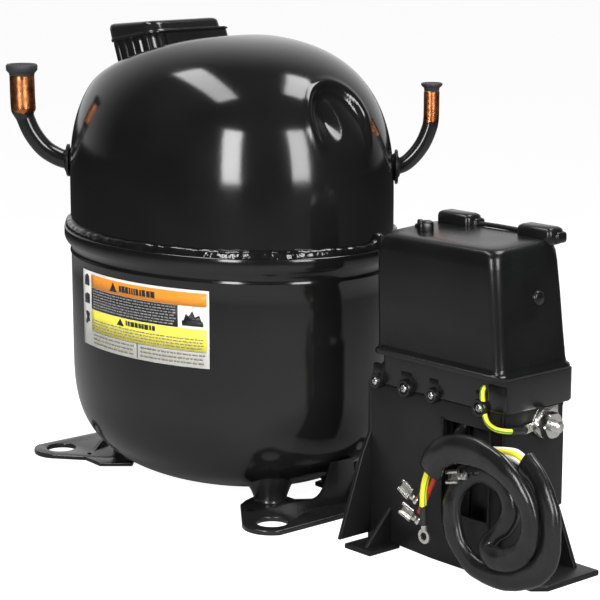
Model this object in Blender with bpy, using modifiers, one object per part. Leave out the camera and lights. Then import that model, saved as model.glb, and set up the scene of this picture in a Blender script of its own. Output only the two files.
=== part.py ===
"""Hermetic reciprocating compressor with its electrical box, in metres, +Z up.

X runs along the long axis of the oval shell towards the electrical box, Y across it.
Every part is placed from the vertical axis of the shell, which the assembly empty
carries, so that the footprint of the whole is centred on the world origin.
"""

import math

import bmesh
import bpy
from mathutils import Matrix, Vector

# ---------------------------------------------------------------- driving dimensions
SHELL_AXIS = Vector((-0.0795, 0.0, 0.0))     # shell axis, from the centre of the footprint
GAP = 0.0003                                 # clearance between parts that touch

# oval shell
SHELL_A = 0.1120                             # half length of the oval, outside
SHELL_B = 0.0860                             # half width
SHELL_WALL = 0.0032
SHELL_STEPS = 32
DOME_BASE_Z = 0.1750                         # the straight wall ends here
DOME_TOP_Z = 0.2690
DOME_POWER = 2.7
CUP_TOP_Z = 0.0750                           # the rounded bottom starts here
CUP_BOTTOM_Z = 0.0070
CUP_POWER = 3.0
SEAM_Z = 0.1520                              # top edge of the flared rim
FLARE_Z = 0.1400                             # where the rim starts to flare
FLARE = SHELL_WALL + 2 * GAP
UPPER_SKIRT_Z = 0.1470                       # lower edge of the upper shell, inside the flare
WELD_HEIGHT = 0.0060
FACET_X = -0.0180                            # the terminal facet starts this far from the axis
FACET_Z = 0.2655
FACET_TILT = math.radians(21)

# terminal, in the middle of the facet, and its cover
TERMINAL_X = -0.0597
TERMINAL_Y = 0.0065
TERMINAL_RADIUS = 0.0165
COVER_LENGTH = 0.0600
COVER_WIDTH = 0.0440
COVER_HEIGHT = 0.0190
COVER_RISE = 0.0080                          # the top stands this much higher on its outer side
COVER_SKIRT = 0.0160                         # the walls reach this far below the facet's plane
COVER_WALL = 0.0025

# base rails
HOLE_X = 0.1040                              # mounting holes, from the shell axis
HOLE_Y = 0.0550
HOLE_RADIUS = 0.0092
EAR_RADIUS = 0.0212
RAIL_SHEET = 0.0030
BOSS_X = 0.0695
BOSS_Y = 0.0270
BOSS_RADIUS = 0.0098
BOSS_TOP_RADIUS = 0.0130
BOSS_TOP_Z = 0.0225

# stub tubes: directions in plan, sizes, and heights of the stations of each bend
TUBE_ANGLE = math.radians(48.9)
SUCTION_RADIUS = 0.0056
SUCTION_END_RADIUS = 0.0076
DISCHARGE_RADIUS = 0.0046
PROCESS_RADIUS = 0.0034
SUCTION_ROUTE = ((0.0900, 0.1895), (0.0990, 0.1900), (0.1065, 0.1925), (0.1140, 0.1975),
                 (0.1200, 0.2050), (0.1237, 0.2130), (0.1252, 0.2200), (0.1253, 0.2390))
DISCHARGE_ROUTE = ((0.0900, 0.1923), (0.0990, 0.1930), (0.1050, 0.1953), (0.1105, 0.2005),
                   (0.1148, 0.2070), (0.1174, 0.2140), (0.1184, 0.2210), (0.1184, 0.2390))
PROCESS_ANGLE = math.radians(128)
PROCESS_ROUTE = ((0.0820, 0.1930), (0.0960, 0.1930), (0.1030, 0.1950), (0.1085, 0.2000),
                 (0.1110, 0.2070), (0.1115, 0.2140), (0.1115, 0.2330))
PLUG_DEPTH = 0.0090

# motor and pump
SHAFT_X = -0.0140                            # shaft axis, from the shell axis
THROW = 0.0080                               # half of the stroke
ROD_LENGTH = 0.0420
BORE_RADIUS = 0.0250
CYLINDER_Z = 0.1890
STATOR_HALF = 0.0600
STATOR_Z = (0.0700, 0.1300)
STATOR_BORE = 0.0350
ROTOR_RADIUS = 0.0345
SHAFT_RADIUS = 0.0095
LEG = 0.0500                                 # bolts, legs and springs stand at (+-LEG, +-LEG)
SPRING_Z = (0.0372, 0.0617)
SPRING_RADIUS = 0.0080
SPRING_WIRE = 0.0013

# electrical box on its bracket
BOX_X = (0.1670, 0.2590)
BOX_Y = (-0.0350, 0.0180)
BOX_TOP_Z = 0.1755
BOX_RIM_Z = 0.1095
BOX_FLOOR_Z = 0.0925
BOX_WALL = 0.0022
BRACKET_X = (0.1575, 0.2560)
BRACKET_FRONT_Y = -0.0290
BRACKET_BACK_Y = 0.0180
BRACKET_SHEET = 0.0026
BRACKET_TOP_Z = 0.0905
TOP_SLOPE_X = 0.032                          # the cover's top rises a little to the right and back
TOP_SLOPE_Y = 0.085
CLIP_X = (0.1870, 0.2455)                    # clips on the cover's back edge
CLIP_HALF = 0.0120
CLIP_Y = 0.0080
BAR_Z = BOX_TOP_Z + 0.0030
SCREW_X = (0.1645, 0.1850, 0.2060, 0.2400)
SCREW_Z = 0.0930
EARTH = Vector((0.2560, -0.0010, 0.0820))     # earth bolt axis on the right wall

# harness: a flat sleeve wound in a coil that stands on the floor and leans on the bracket
COIL_CENTRE = Vector((0.2670, -0.0456, 0.0414))
COIL_RADIUS = 0.0405
COIL_BORE = 0.0170
COIL_HALF_WIDTH = 0.0095
COIL_LEAN = math.radians(2)

# feed: the cable from the tray's floor, out through the bracket's window, to the coil
FEED_RADIUS = 0.0030
FEED_HOLE = (0.2237, -0.0215)
FEED_ROUTE = ((0.2237, -0.0215, 0.0925), (0.2236, -0.0217, 0.0850), (0.2230, -0.0232, 0.0775),
              (0.2232, -0.0278, 0.0732), (0.2270, -0.0305, 0.0713), (0.2350, -0.0310, 0.0702),
              (0.2450, -0.0310, 0.0698))

# leads with their terminals, beside the coil: outline in X and Z
LEADS_Y = (-0.0535, -0.0405)
LEADS_OUTLINE = ((0.1985, 0.0410), (0.2060, 0.0480), (0.2150, 0.0650), (0.2258, 0.0700),
                 (0.2258, 0.0190), (0.2140, 0.0165), (0.1985, 0.0260))

parts = bpy.data.collections.new("hermetic_compressor")
cutters = bpy.data.collections.new("cutters")


# ---------------------------------------------------------------- helpers
def clear_scene():
    for item in list(bpy.data.objects):
        bpy.data.objects.remove(item, do_unlink=True)


def material(name, colour, roughness, metallic=0.0):
    """A Principled material, made once for each name."""
    if name in bpy.data.materials:
        return bpy.data.materials[name]
    made = bpy.data.materials.new(name)
    made.use_nodes = True
    shader = made.node_tree.nodes["Principled BSDF"]
    shader.inputs["Base Color"].default_value = (*colour, 1.0)
    shader.inputs["Roughness"].default_value = roughness
    shader.inputs["Metallic"].default_value = metallic
    return made


BLACK_PAINT = ("black_paint", (0.012, 0.012, 0.012), 0.16)
BRACKET_PAINT = ("bracket_plastic", (0.02, 0.02, 0.021), 0.42)
BOX_PLASTIC = ("box_plastic", (0.022, 0.022, 0.023), 0.3)
COPPER = ("copper", (0.78, 0.36, 0.2), 0.28, 1.0)
RUBBER = ("rubber", (0.035, 0.035, 0.036), 0.7)
STEEL = ("steel", (0.55, 0.55, 0.54), 0.35, 1.0)
ZINC = ("zinc", (0.72, 0.72, 0.7), 0.3, 1.0)
CAST_IRON = ("cast_iron", (0.2, 0.2, 0.21), 0.6, 0.8)
LAMINATION = ("lamination", (0.3, 0.31, 0.33), 0.5, 0.9)
ENAMEL = ("winding_enamel", (0.45, 0.14, 0.05), 0.35, 0.5)
ALUMINIUM = ("aluminium", (0.7, 0.71, 0.72), 0.35, 1.0)
GLASS_SEAL = ("terminal_glass", (0.1, 0.16, 0.14), 0.2)
WHITE_PLASTIC = ("white_plastic", (0.75, 0.74, 0.7), 0.5)
LABEL_FILM = ("label_film", (0.88, 0.87, 0.82), 0.45)
EARTH_COLOUR = ("earth_insulation", (0.8, 0.78, 0.05), 0.4)
SLEEVE = ("sleeve", (0.02, 0.02, 0.02), 0.3)
CAPACITOR_CASE = ("capacitor_case", (0.05, 0.05, 0.055), 0.4)


def finish(item, name, finish_of, smooth=35):
    """Names the part, gives it its material and hangs it on the assembly."""
    item.name = name
    item.data.name = name
    item.data.materials.clear()
    item.data.materials.append(material(*finish_of))
    if smooth and item.type == "MESH":
        item.data.shade_smooth()
        item.data.set_sharp_from_angle(angle=math.radians(smooth))
    for owner in list(item.users_collection):
        owner.objects.unlink(item)
    parts.objects.link(item)
    item.parent = assembly
    return item


def as_cutter(item):
    """Keeps a helper solid out of the model."""
    for owner in list(item.users_collection):
        owner.objects.unlink(item)
    cutters.objects.link(item)
    item.hide_render = True
    item.display_type = "WIRE"
    return item


def mesh_object(bm, name="solid"):
    data = bpy.data.meshes.new(name)
    bm.to_mesh(data)
    bm.free()
    item = bpy.data.objects.new(name, data)
    bpy.context.scene.collection.objects.link(item)
    return item


def baked(item):
    """The evaluated mesh of an object, as a plain mesh object in its place."""
    bpy.context.view_layer.update()
    data = bpy.data.meshes.new_from_object(item.evaluated_get(bpy.context.evaluated_depsgraph_get()))
    place = item.matrix_world.copy()
    bpy.data.objects.remove(item, do_unlink=True)
    bm = bmesh.new()
    bm.from_mesh(data)
    bmesh.ops.transform(bm, matrix=place, verts=bm.verts)
    bmesh.ops.remove_doubles(bm, verts=bm.verts, dist=1e-6)
    bmesh.ops.recalc_face_normals(bm, faces=bm.faces)
    return mesh_object(bm)


def block(low, high, bevel=0.0):
    """A box between two corners, with its edges rounded."""
    low, high = Vector(low), Vector(high)
    bm = bmesh.new()
    bmesh.ops.create_cube(bm, size=1.0)
    bmesh.ops.scale(bm, vec=high - low, verts=bm.verts)
    bmesh.ops.translate(bm, vec=(low + high) / 2, verts=bm.verts)
    if bevel:
        bmesh.ops.bevel(bm, geom=bm.edges[:], offset=bevel, segments=1, affect="EDGES",
                        clamp_overlap=True)
    return mesh_object(bm)


def rod(start, end, radius, sides=20, end_radius=None):
    """A cylinder or a cone between two points."""
    start, end = Vector(start), Vector(end)
    bm = bmesh.new()
    bmesh.ops.create_cone(bm, cap_ends=True, segments=sides, radius1=radius,
                          radius2=radius if end_radius is None else end_radius,
                          depth=(end - start).length)
    turn = (end - start).to_track_quat("Z", "Y").to_matrix().to_4x4()
    bmesh.ops.transform(bm, matrix=Matrix.Translation((start + end) / 2) @ turn, verts=bm.verts)
    return mesh_object(bm)


def turned(profile, steps=32, axis_at=(0.0, 0.0)):
    """A profile of (radius, z), from top to bottom on the outer side, turned about Z."""
    bm = bmesh.new()
    points = [bm.verts.new((radius, 0.0, z)) for radius, z in profile]
    for first, second in zip(points, points[1:]):
        bm.edges.new((first, second))
    item = mesh_object(bm)
    item.location = (*axis_at, 0.0)
    screw = item.modifiers.new("turn", "SCREW")
    screw.steps = steps
    screw.render_steps = steps
    screw.use_merge_vertices = True
    screw.merge_threshold = 0.00005
    return baked(item)


def ring(outer, inner, low, high, steps=32, axis_at=(0.0, 0.0)):
    """A plain ring, closed on itself."""
    corners = ((outer, high), (outer, low), (inner, low), (inner, high), (outer, high))
    return turned(corners, steps, axis_at)


def outline_plate(points, low, high):
    """A flat outline in X and Y, extruded from low to high."""
    curve = bpy.data.curves.new("outline", "CURVE")
    curve.dimensions = "2D"
    curve.fill_mode = "BOTH"
    curve.extrude = (high - low) / 2
    spline = curve.splines.new("POLY")
    spline.points.add(len(points) - 1)
    for point, (x, y) in zip(spline.points, points):
        point.co = (x, y, 0.0, 1.0)
    spline.use_cyclic_u = True
    item = bpy.data.objects.new("outline", curve)
    bpy.context.scene.collection.objects.link(item)
    item.location = (0.0, 0.0, (low + high) / 2)
    return baked(item)


def upright_plate(points, low, high, along="X"):
    """An outline in (Y, Z) with its thickness along X, or in (X, Z) with it along Y."""
    flat = outline_plate(points, low, high)
    rows = ((0, 0, 1), (1, 0, 0), (0, 1, 0)) if along == "X" else ((1, 0, 0), (0, 0, 1), (0, 1, 0))
    flat.data.transform(Matrix(rows).to_4x4())
    if along != "X":
        flat.data.flip_normals()
    return flat


def wire(points, radius, resolution=2):
    """A round wire through the points, as a welded mesh."""
    curve = bpy.data.curves.new("wire", "CURVE")
    curve.dimensions = "3D"
    curve.bevel_depth = radius
    curve.bevel_resolution = resolution
    curve.use_fill_caps = True
    spline = curve.splines.new("POLY")
    spline.points.add(len(points) - 1)
    for point, place in zip(spline.points, points):
        point.co = (*place, 1.0)
    item = bpy.data.objects.new("wire", curve)
    bpy.context.scene.collection.objects.link(item)
    return baked(item)


def smooth_route(points, spacing):
    """Evenly spaced points on a smooth curve through the given ones."""
    points = [Vector(point) for point in points]
    ends = [2 * points[0] - points[1], *points, 2 * points[-1] - points[-2]]
    fine = []
    for before, start, end, after in zip(ends, ends[1:], ends[2:], ends[3:]):
        for step in range(12):
            t = step / 12
            fine.append(0.5 * (2 * start + (end - before) * t
                               + (2 * before - 5 * start + 4 * end - after) * t ** 2
                               + (3 * start - before - 3 * end + after) * t ** 3))
    fine.append(points[-1])
    length = sum((b - a).length for a, b in zip(fine, fine[1:]))
    count = max(2, round(length / spacing))
    even, travelled, target = [fine[0]], 0.0, length / count
    for first, second in zip(fine, fine[1:]):
        leg = (second - first).length
        while leg and travelled + leg >= target - 1e-9 and len(even) < count:
            even.append(first.lerp(second, (target - travelled) / leg))
            target += length / count
        travelled += leg
    return [*even, fine[-1]]


def combine(target, others, operation="UNION"):
    """One closed solid from the target and the others, which are used up."""
    for other in others:
        step = target.modifiers.new(operation.lower(), "BOOLEAN")
        step.operation = operation
        step.solver = "EXACT"
        step.object = as_cutter(other)
        target = baked(target)
        bpy.data.objects.remove(other, do_unlink=True)
    return target


def cut(target, *others):
    return combine(target, others, "DIFFERENCE")


def joined(target, *others):
    return combine(target, others, "UNION")


def pivot(item, point):
    """Puts the part's origin on its joint's axis."""
    item.data.transform(Matrix.Translation(-Vector(point)))
    item.location = point
    return item


# ---------------------------------------------------------------- the oval shell
def dome_radius(z):
    """Radius of the upper shell at a height, as a share of the straight wall's."""
    rise = max(0.0, z - DOME_BASE_Z) / (DOME_TOP_Z - DOME_BASE_Z)
    return max(0.0, 1 - rise ** DOME_POWER) ** (1 / DOME_POWER)


def cup_height(share):
    """Height of the lower shell's outside at a share of the full radius."""
    depth = max(0.0, 1 - share ** CUP_POWER) ** (1 / CUP_POWER)
    return CUP_TOP_Z - (CUP_TOP_Z - CUP_BOTTOM_Z) * depth


def squeeze(item):
    """Makes a turned round shell oval; what stands out of the wall keeps its thickness."""
    for vertex in item.data.vertices:
        proud = max(0.0, vertex.co.to_2d().length - SHELL_A)
        vertex.co.y *= (SHELL_B + proud) / (SHELL_A + proud)


def dome_profile():
    """Outside of the upper shell, from the crown down to the skirt."""
    rows = 8
    points = []
    for row in range(rows + 1):
        lift = math.sin(math.pi / 2 * (1 - row / rows)) ** 0.75
        z = DOME_BASE_Z + (DOME_TOP_Z - DOME_BASE_Z) * lift
        points.append((SHELL_A * dome_radius(z), z))
    points.append((SHELL_A, UPPER_SKIRT_Z))
    return points


def cup_profile():
    """Outside of the lower shell, from the flared rim down to the middle of the bottom."""
    points = [(SHELL_A + FLARE, SEAM_Z), (SHELL_A + FLARE, FLARE_Z + 0.004), (SHELL_A, FLARE_Z)]
    rows = 7
    for row in range(rows + 1):
        share = math.sin(math.pi / 2 * (1 - row / rows)) ** 0.8
        points.append((SHELL_A * share, cup_height(share)))
    return points


def facet_height(x):
    """Height of the plane that flattens the terminal end of the dome."""
    return FACET_Z + math.tan(FACET_TILT) * (x - FACET_X)


def solid_shell(profile, facet=False):
    skin = turned(profile, SHELL_STEPS)
    squeeze(skin)
    if facet:
        for vertex in skin.data.vertices:
            vertex.co.z = min(vertex.co.z, facet_height(vertex.co.x))
    wall = skin.modifiers.new("wall", "SOLIDIFY")
    wall.thickness = SHELL_WALL
    wall.offset = -1.0
    wall.use_even_offset = True
    return baked(skin)


def wall_point(angle):
    """The point of the oval wall whose outward normal has this plan direction."""
    reach = math.hypot(SHELL_A * math.cos(angle), SHELL_B * math.sin(angle))
    return Vector((SHELL_A ** 2 * math.cos(angle), SHELL_B ** 2 * math.sin(angle), 0.0)) / reach


def tube_points(angle, route):
    """Centre line of a stub: its distances are measured along the wall's normal."""
    root = wall_point(angle)
    normal = Vector((math.cos(angle), math.sin(angle), 0.0))
    base = root - normal * root.dot(normal)
    return [base + normal * distance + Vector((0, 0, z)) for distance, z in route]


STUBS = {
    "suction": (TUBE_ANGLE + math.pi, SUCTION_ROUTE, SUCTION_RADIUS, SUCTION_END_RADIUS, 0.0210),
    "discharge": (TUBE_ANGLE, DISCHARGE_ROUTE, DISCHARGE_RADIUS, DISCHARGE_RADIUS, 0.0190),
    "process": (PROCESS_ANGLE, PROCESS_ROUTE, PROCESS_RADIUS, PROCESS_RADIUS, 0.0160),
}


def upper_shell():
    shell = solid_shell(dome_profile(), facet=True)
    for angle, route, radius, _, _ in STUBS.values():
        first, second = tube_points(angle, route)[:2]
        shell = cut(shell, rod(first - (second - first) * 0.5, second, radius + GAP, 16))
    header = facet_frame()
    hole = rod(header @ Vector((0, 0, -0.02)), header @ Vector((0, 0, 0.02)), TERMINAL_RADIUS + GAP, 28)
    return finish(cut(shell, hole), "upper_shell", BLACK_PAINT)


def lower_shell():
    shell = solid_shell(cup_profile())
    for x, y in corners(LEG, LEG):
        seat = rod((x, y, 0.0), (x, y, SPRING_Z[0] - GAP), SPRING_RADIUS + 0.0025, 16)
        seat = cut(seat, cup_cutter(SHELL_WALL / 2))
        shell = joined(shell, seat)
    return finish(shell, "lower_shell", BLACK_PAINT)


def cup_cutter(inset=0.0, outside=True):
    """Everything below the cup's surface moved in by the inset, or the space of the cup."""
    grown = [(radius, z) for radius, z in cup_profile() if z <= CUP_TOP_Z + 1e-6]
    body = turned([(0.0, 0.16), (SHELL_A, 0.16), *grown], SHELL_STEPS)
    squeeze(body)
    size = Vector((1 - inset / SHELL_A, 1 - inset / SHELL_B, 1.0))
    body.data.transform(Matrix.Diagonal((size.x, size.y, 1.0, 1.0)))
    body.data.transform(Matrix.Translation((0, 0, inset)))
    if not outside:
        return body
    return cut(block((-0.2, -0.2, -0.05), (0.2, 0.2, 0.15)), body)


def weld_bead():
    """A fillet that fills the corner between the flared rim and the upper shell's wall."""
    inner = SHELL_A + GAP
    low = SEAM_Z + GAP
    section = ((inner, low + WELD_HEIGHT), (inner + FLARE * 0.75, low + WELD_HEIGHT * 0.45),
               (inner + FLARE * 0.95, low), (inner, low), (inner, low + WELD_HEIGHT))
    bead = turned(section, SHELL_STEPS)
    squeeze(bead)
    return finish(bead, "weld_bead", BLACK_PAINT)


def label():
    """A thin film on the lower shell's front wall."""
    columns, width = 14, math.radians(51)
    start = math.radians(-107)
    low, high, lift, film = 0.0860, 0.1310, GAP, 0.0004
    bm = bmesh.new()
    rows = []
    for column in range(columns + 1):
        angle = start + width * column / columns
        x = (SHELL_A + lift + 0.0003) * math.cos(angle)
        y = (SHELL_B + lift + 0.0003) * math.sin(angle)
        rows.append((bm.verts.new((x, y, low)), bm.verts.new((x, y, high))))
    for first, second in zip(rows, rows[1:]):
        bm.faces.new((first[0], second[0], second[1], first[1]))
    sheet = mesh_object(bm)
    skin = sheet.modifiers.new("film", "SOLIDIFY")
    skin.thickness = film
    skin.offset = 1.0
    return finish(baked(sheet), "label", LABEL_FILM)


# ---------------------------------------------------------------- base rails
def corners(x, y):
    return [(sx * x, sy * y) for sx in (1, -1) for sy in (1, -1)]


def arc(centre, radius, start, end, steps):
    """Points on an arc in plan, angles in degrees."""
    span = [math.radians(start + (end - start) * step / steps) for step in range(steps + 1)]
    return [(centre[0] + radius * math.cos(a), centre[1] + radius * math.sin(a)) for a in span]


def rail_waist(y):
    """X of the line where the upright web of a rail stands."""
    return 0.1040 - 0.0240 * (abs(y) / 0.0520) ** 1.6


def rail(side, name):
    """A pressed rail: ears round the holes, a tab, an upright web and two bosses."""
    front = arc((HOLE_X, -HOLE_Y), EAR_RADIUS, 225, 335, 6)
    back = arc((HOLE_X, HOLE_Y), EAR_RADIUS, 25, 135, 6)
    inner = ((0.0660, 0.0470), (0.0620, 0.0400), (0.0580, 0.0280), (0.0600, 0.0165), (0.0790, 0.0160),
             (0.0850, 0.0080), (0.0868, 0.0), (0.0850, -0.0080), (0.0790, -0.0160), (0.0600, -0.0165),
             (0.0580, -0.0280), (0.0620, -0.0400), (0.0660, -0.0470))
    body = outline_plate([*front, *back, *inner], 0.0, RAIL_SHEET)
    tab = ((0.0590, 0.0575), (0.0455, 0.0420), (0.0590, 0.0290), (0.0850, 0.0310), (0.0780, 0.0560))
    body = joined(body, outline_plate(tab, 0.0004, RAIL_SHEET - 0.0004))
    web_y = [-0.052 + 0.013 * step for step in range(9)]
    web = outline_plate([*[(rail_waist(y), y) for y in web_y],
                         *[(rail_waist(y) - RAIL_SHEET, y) for y in reversed(web_y)]],
                        RAIL_SHEET * 0.5, 0.0560)
    contour = ((-0.0600, 0.0700), (-0.0600, 0.0065), (-0.0300, 0.0095), (-0.0150, 0.0120),
               (-0.0090, 0.0200), (-0.0070, 0.0560), (0.0070, 0.0560), (0.0090, 0.0200),
               (0.0150, 0.0120), (0.0300, 0.0095), (0.0600, 0.0065), (0.0600, 0.0700))
    body = joined(body, cut(web, upright_plate(contour, 0.05, 0.13)))
    for y in (BOSS_Y, -BOSS_Y):
        boss = rod((BOSS_X, y, RAIL_SHEET * 0.5), (BOSS_X, y, BOSS_TOP_Z), BOSS_RADIUS, 16, BOSS_TOP_RADIUS)
        body = joined(body, boss)
    for y in (HOLE_Y, -HOLE_Y):
        body = cut(body, rod((HOLE_X, y, -0.01), (HOLE_X, y, 0.02), HOLE_RADIUS, 24))
    body = cut(body, cup_cutter(-GAP * 1.5, outside=False))
    if side < 0:
        body.data.transform(Matrix.Rotation(math.pi, 4, "Z"))
    return finish(body, name, BLACK_PAINT)


# ---------------------------------------------------------------- stub tubes
def stub(kind):
    angle, route, radius, end_radius, end_length = STUBS[kind]
    stations = tube_points(angle, route)
    centre_line = smooth_route(stations, radius * 1.6)
    top = stations[-1]
    body = wire(centre_line, radius, 3)
    if end_radius > radius:
        neck = top - Vector((0, 0, end_length))
        swage = rod(neck - Vector((0, 0, 0.004)), neck, radius * 0.99, 20, end_radius)
        body = joined(body, swage, rod(neck - Vector((0, 0, 0.0002)), top, end_radius, 20))
    bore = rod(top - Vector((0, 0, PLUG_DEPTH + 0.003)), top + Vector((0, 0, 0.01)),
               end_radius - 0.001, 20)
    finish(cut(body, bore), kind + "_tube", COPPER)
    shaft = end_radius - 0.001 - GAP
    head_low = top.z + GAP
    profile = ((0.0, head_low + 0.0074), (end_radius * 1.18, head_low + 0.0074),
               (end_radius * 1.26, head_low + 0.0062), (end_radius * 1.24, head_low + 0.0026),
               (end_radius * 1.0, head_low),
               (shaft, head_low), (shaft * 0.96, top.z - PLUG_DEPTH), (0.0, top.z - PLUG_DEPTH))
    plug = turned(profile, 16, top.to_2d())
    finish(pivot(plug, top), kind + "_plug", RUBBER)


def collar(kind, disc_radius):
    """The steel disc that is welded where a stub enters the shell."""
    angle, route, radius, _, _ = STUBS[kind]
    stations = tube_points(angle, route)
    normal = Vector((math.cos(angle), math.sin(angle), 0.0))
    reach = math.hypot(SHELL_A * math.cos(angle), SHELL_B * math.sin(angle))
    near, far = route[0][0], route[1][0]
    centre = stations[0].lerp(stations[1], (reach + 0.0014 - near) / (far - near))
    disc = rod(centre - normal * 0.0008, centre + normal * 0.0008, disc_radius, 24)
    along = (stations[1] - stations[0]).normalized()
    disc = cut(disc, rod(centre - along * 0.02, centre + along * 0.02, radius + GAP * 3, 16))
    finish(disc, kind + "_collar", BLACK_PAINT)


# ---------------------------------------------------------------- terminal and its cover
def facet_frame():
    """Axes of the terminal facet: its own Z points straight out of the shell."""
    middle = Vector((TERMINAL_X, TERMINAL_Y, facet_height(TERMINAL_X)))
    return Matrix.Translation(middle) @ Matrix.Rotation(-FACET_TILT, 4, "Y")


def on_facet(item):
    item.data.transform(facet_frame())
    return item


def terminal():
    header = joined(rod((0, 0, -0.0060), (0, 0, 0.0010), TERMINAL_RADIUS - 0.0003, 28),
                    rod((0, 0, 0.0005), (0, 0, 0.0025), TERMINAL_RADIUS - 0.0030, 28))
    pins = [(0.0065 * math.cos(a), 0.0065 * math.sin(a)) for a in (math.pi / 2, math.radians(210),
                                                                 math.radians(330))]
    for x, y in pins:
        header = cut(header, rod((x, y, -0.02), (x, y, 0.02), 0.0017 + GAP, 12))
    finish(on_facet(header), "terminal_header", GLASS_SEAL)
    for number, (x, y) in enumerate(pins, 1):
        pin = on_facet(rod((x, y, -0.0110), (x, y, 0.0100), 0.0017, 12))
        finish(pin, f"terminal_pin_{number}", STEEL)


def frame_wall(half_x, half_y, wall, low, high):
    """A rectangular frame, open at top and bottom."""
    body = block((-half_x, -half_y, low), (half_x, half_y, high))
    inside = block((-half_x + wall, -half_y + wall, low - 0.01),
                   (half_x - wall, half_y - wall, high + 0.01))
    return cut(body, inside)


def terminal_fence():
    fence = frame_wall(0.0190, 0.0225, 0.0016, GAP * 2, 0.0120)
    finish(on_facet(fence), "terminal_fence", BLACK_PAINT)


def lifted(item):
    """Raises what is above the facet, more towards the side that faces out."""
    half_x = COVER_WIDTH / 2
    for vertex in item.data.vertices:
        share = max(0.0, vertex.co.z) / COVER_HEIGHT
        vertex.co.z += COVER_RISE * share * (half_x - vertex.co.x) / COVER_WIDTH
    return item


def terminal_cover():
    """A moulded cap over the fence, with a stepped lip; its top is less steep than the facet."""
    half_x, half_y = COVER_WIDTH / 2, COVER_LENGTH / 2
    cap = block((-half_x, -half_y, -COVER_SKIRT), (half_x, half_y, COVER_HEIGHT), 0.0040)
    lip = block((-half_x - 0.0015, -half_y - 0.0015, COVER_HEIGHT - 0.0090),
                (half_x + 0.0015, half_y + 0.0015, COVER_HEIGHT - 0.0040), 0.0012)
    inside = block((-half_x + COVER_WALL, -half_y + COVER_WALL, -COVER_SKIRT - 0.01),
                   (half_x - COVER_WALL, half_y - COVER_WALL, COVER_HEIGHT - COVER_WALL - 0.0005))
    cap = on_facet(cut(joined(lifted(cap), lifted(lip)), lifted(inside)))
    cap = cut(cap, grown_dome())
    finish(pivot(cap, facet_frame().translation), "terminal_cover", BOX_PLASTIC)


def grown_dome():
    """The dome as a full solid, a little larger than its skin."""
    dome = turned([*dome_profile()[:-1], (SHELL_A, 0.10), (0.0, 0.10)], SHELL_STEPS)
    squeeze(dome)
    for vertex in dome.data.vertices:
        vertex.co.z = min(vertex.co.z, facet_height(vertex.co.x))
    grow = Matrix.Diagonal((1.008, 1.010, 1.0, 1.0))
    dome.data.transform(Matrix.Translation((0, 0, 0.0008)) @ grow)
    return dome


# ---------------------------------------------------------------- motor on its springs
def mount_springs():
    for number, (x, y) in enumerate(corners(LEG, LEG), 1):
        turns, per_turn = 3, 7
        steps = round(turns * per_turn)
        low, high = SPRING_Z[0] + SPRING_WIRE, SPRING_Z[1] - SPRING_WIRE
        helix = []
        for step in range(steps + 1):
            angle = 2 * math.pi * step / per_turn
            helix.append((x + (SPRING_RADIUS - SPRING_WIRE) * math.cos(angle),
                          y + (SPRING_RADIUS - SPRING_WIRE) * math.sin(angle),
                          low + (high - low) * step / steps))
        finish(wire(helix, SPRING_WIRE, 1), f"mount_spring_{number}", STEEL)


def stator():
    low, high = STATOR_Z
    core = block((-STATOR_HALF, -STATOR_HALF, low), (STATOR_HALF, STATOR_HALF, high))
    core = cut(core, rod((SHAFT_X, 0, low - 0.01), (SHAFT_X, 0, high + 0.01), STATOR_BORE, 36))
    for x, y in corners(LEG, LEG):
        core = cut(core, rod((x, y, low - 0.01), (x, y, high + 0.01), 0.0030 + GAP, 12))
    finish(core, "stator_core", LAMINATION)
    for name, bottom, top in (("upper_winding", high + GAP, 0.1480), ("lower_winding", 0.0520, low - GAP)):
        winding = ring(0.0440, 0.0375, bottom, top, 32, (SHAFT_X, 0.0))
        finish(winding, name, ENAMEL, 50)
    for number, (x, y) in enumerate(corners(LEG, LEG), 1):
        bolt = joined(rod((x, y, 0.0660), (x, y, 0.1580), 0.0030, 12),
                      rod((x, y, SPRING_Z[1] + GAP), (x, y, low - GAP), 0.0080, 6))
        finish(bolt, f"stator_bolt_{number}", ZINC)


def rotating_set():
    axis = Vector((SHAFT_X, 0.0, 0.0))
    rotor = ring(ROTOR_RADIUS, SHAFT_RADIUS + GAP, 0.0680, 0.1320, 32, (SHAFT_X, 0.0))
    finish(pivot(rotor, axis), "rotor", ALUMINIUM)
    pin = Vector((SHAFT_X + THROW, 0.0, 0.0))
    shaft = rod((SHAFT_X, 0, 0.0560), (SHAFT_X, 0, 0.1700), SHAFT_RADIUS, 24)
    web = rod((SHAFT_X, 0, 0.1685), (SHAFT_X, 0, 0.1765), 0.0180, 28)
    crank_pin = rod((pin.x, 0, 0.1760), (pin.x, 0, 0.2010), 0.0078, 20)
    finish(pivot(joined(shaft, web, crank_pin), axis), "crankshaft", STEEL)
    pickup = rod((SHAFT_X, 0, 0.0240), (SHAFT_X, 0, 0.0560 - GAP), 0.0035, 14, 0.0070)
    finish(pivot(pickup, axis), "oil_pickup", STEEL)


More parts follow.
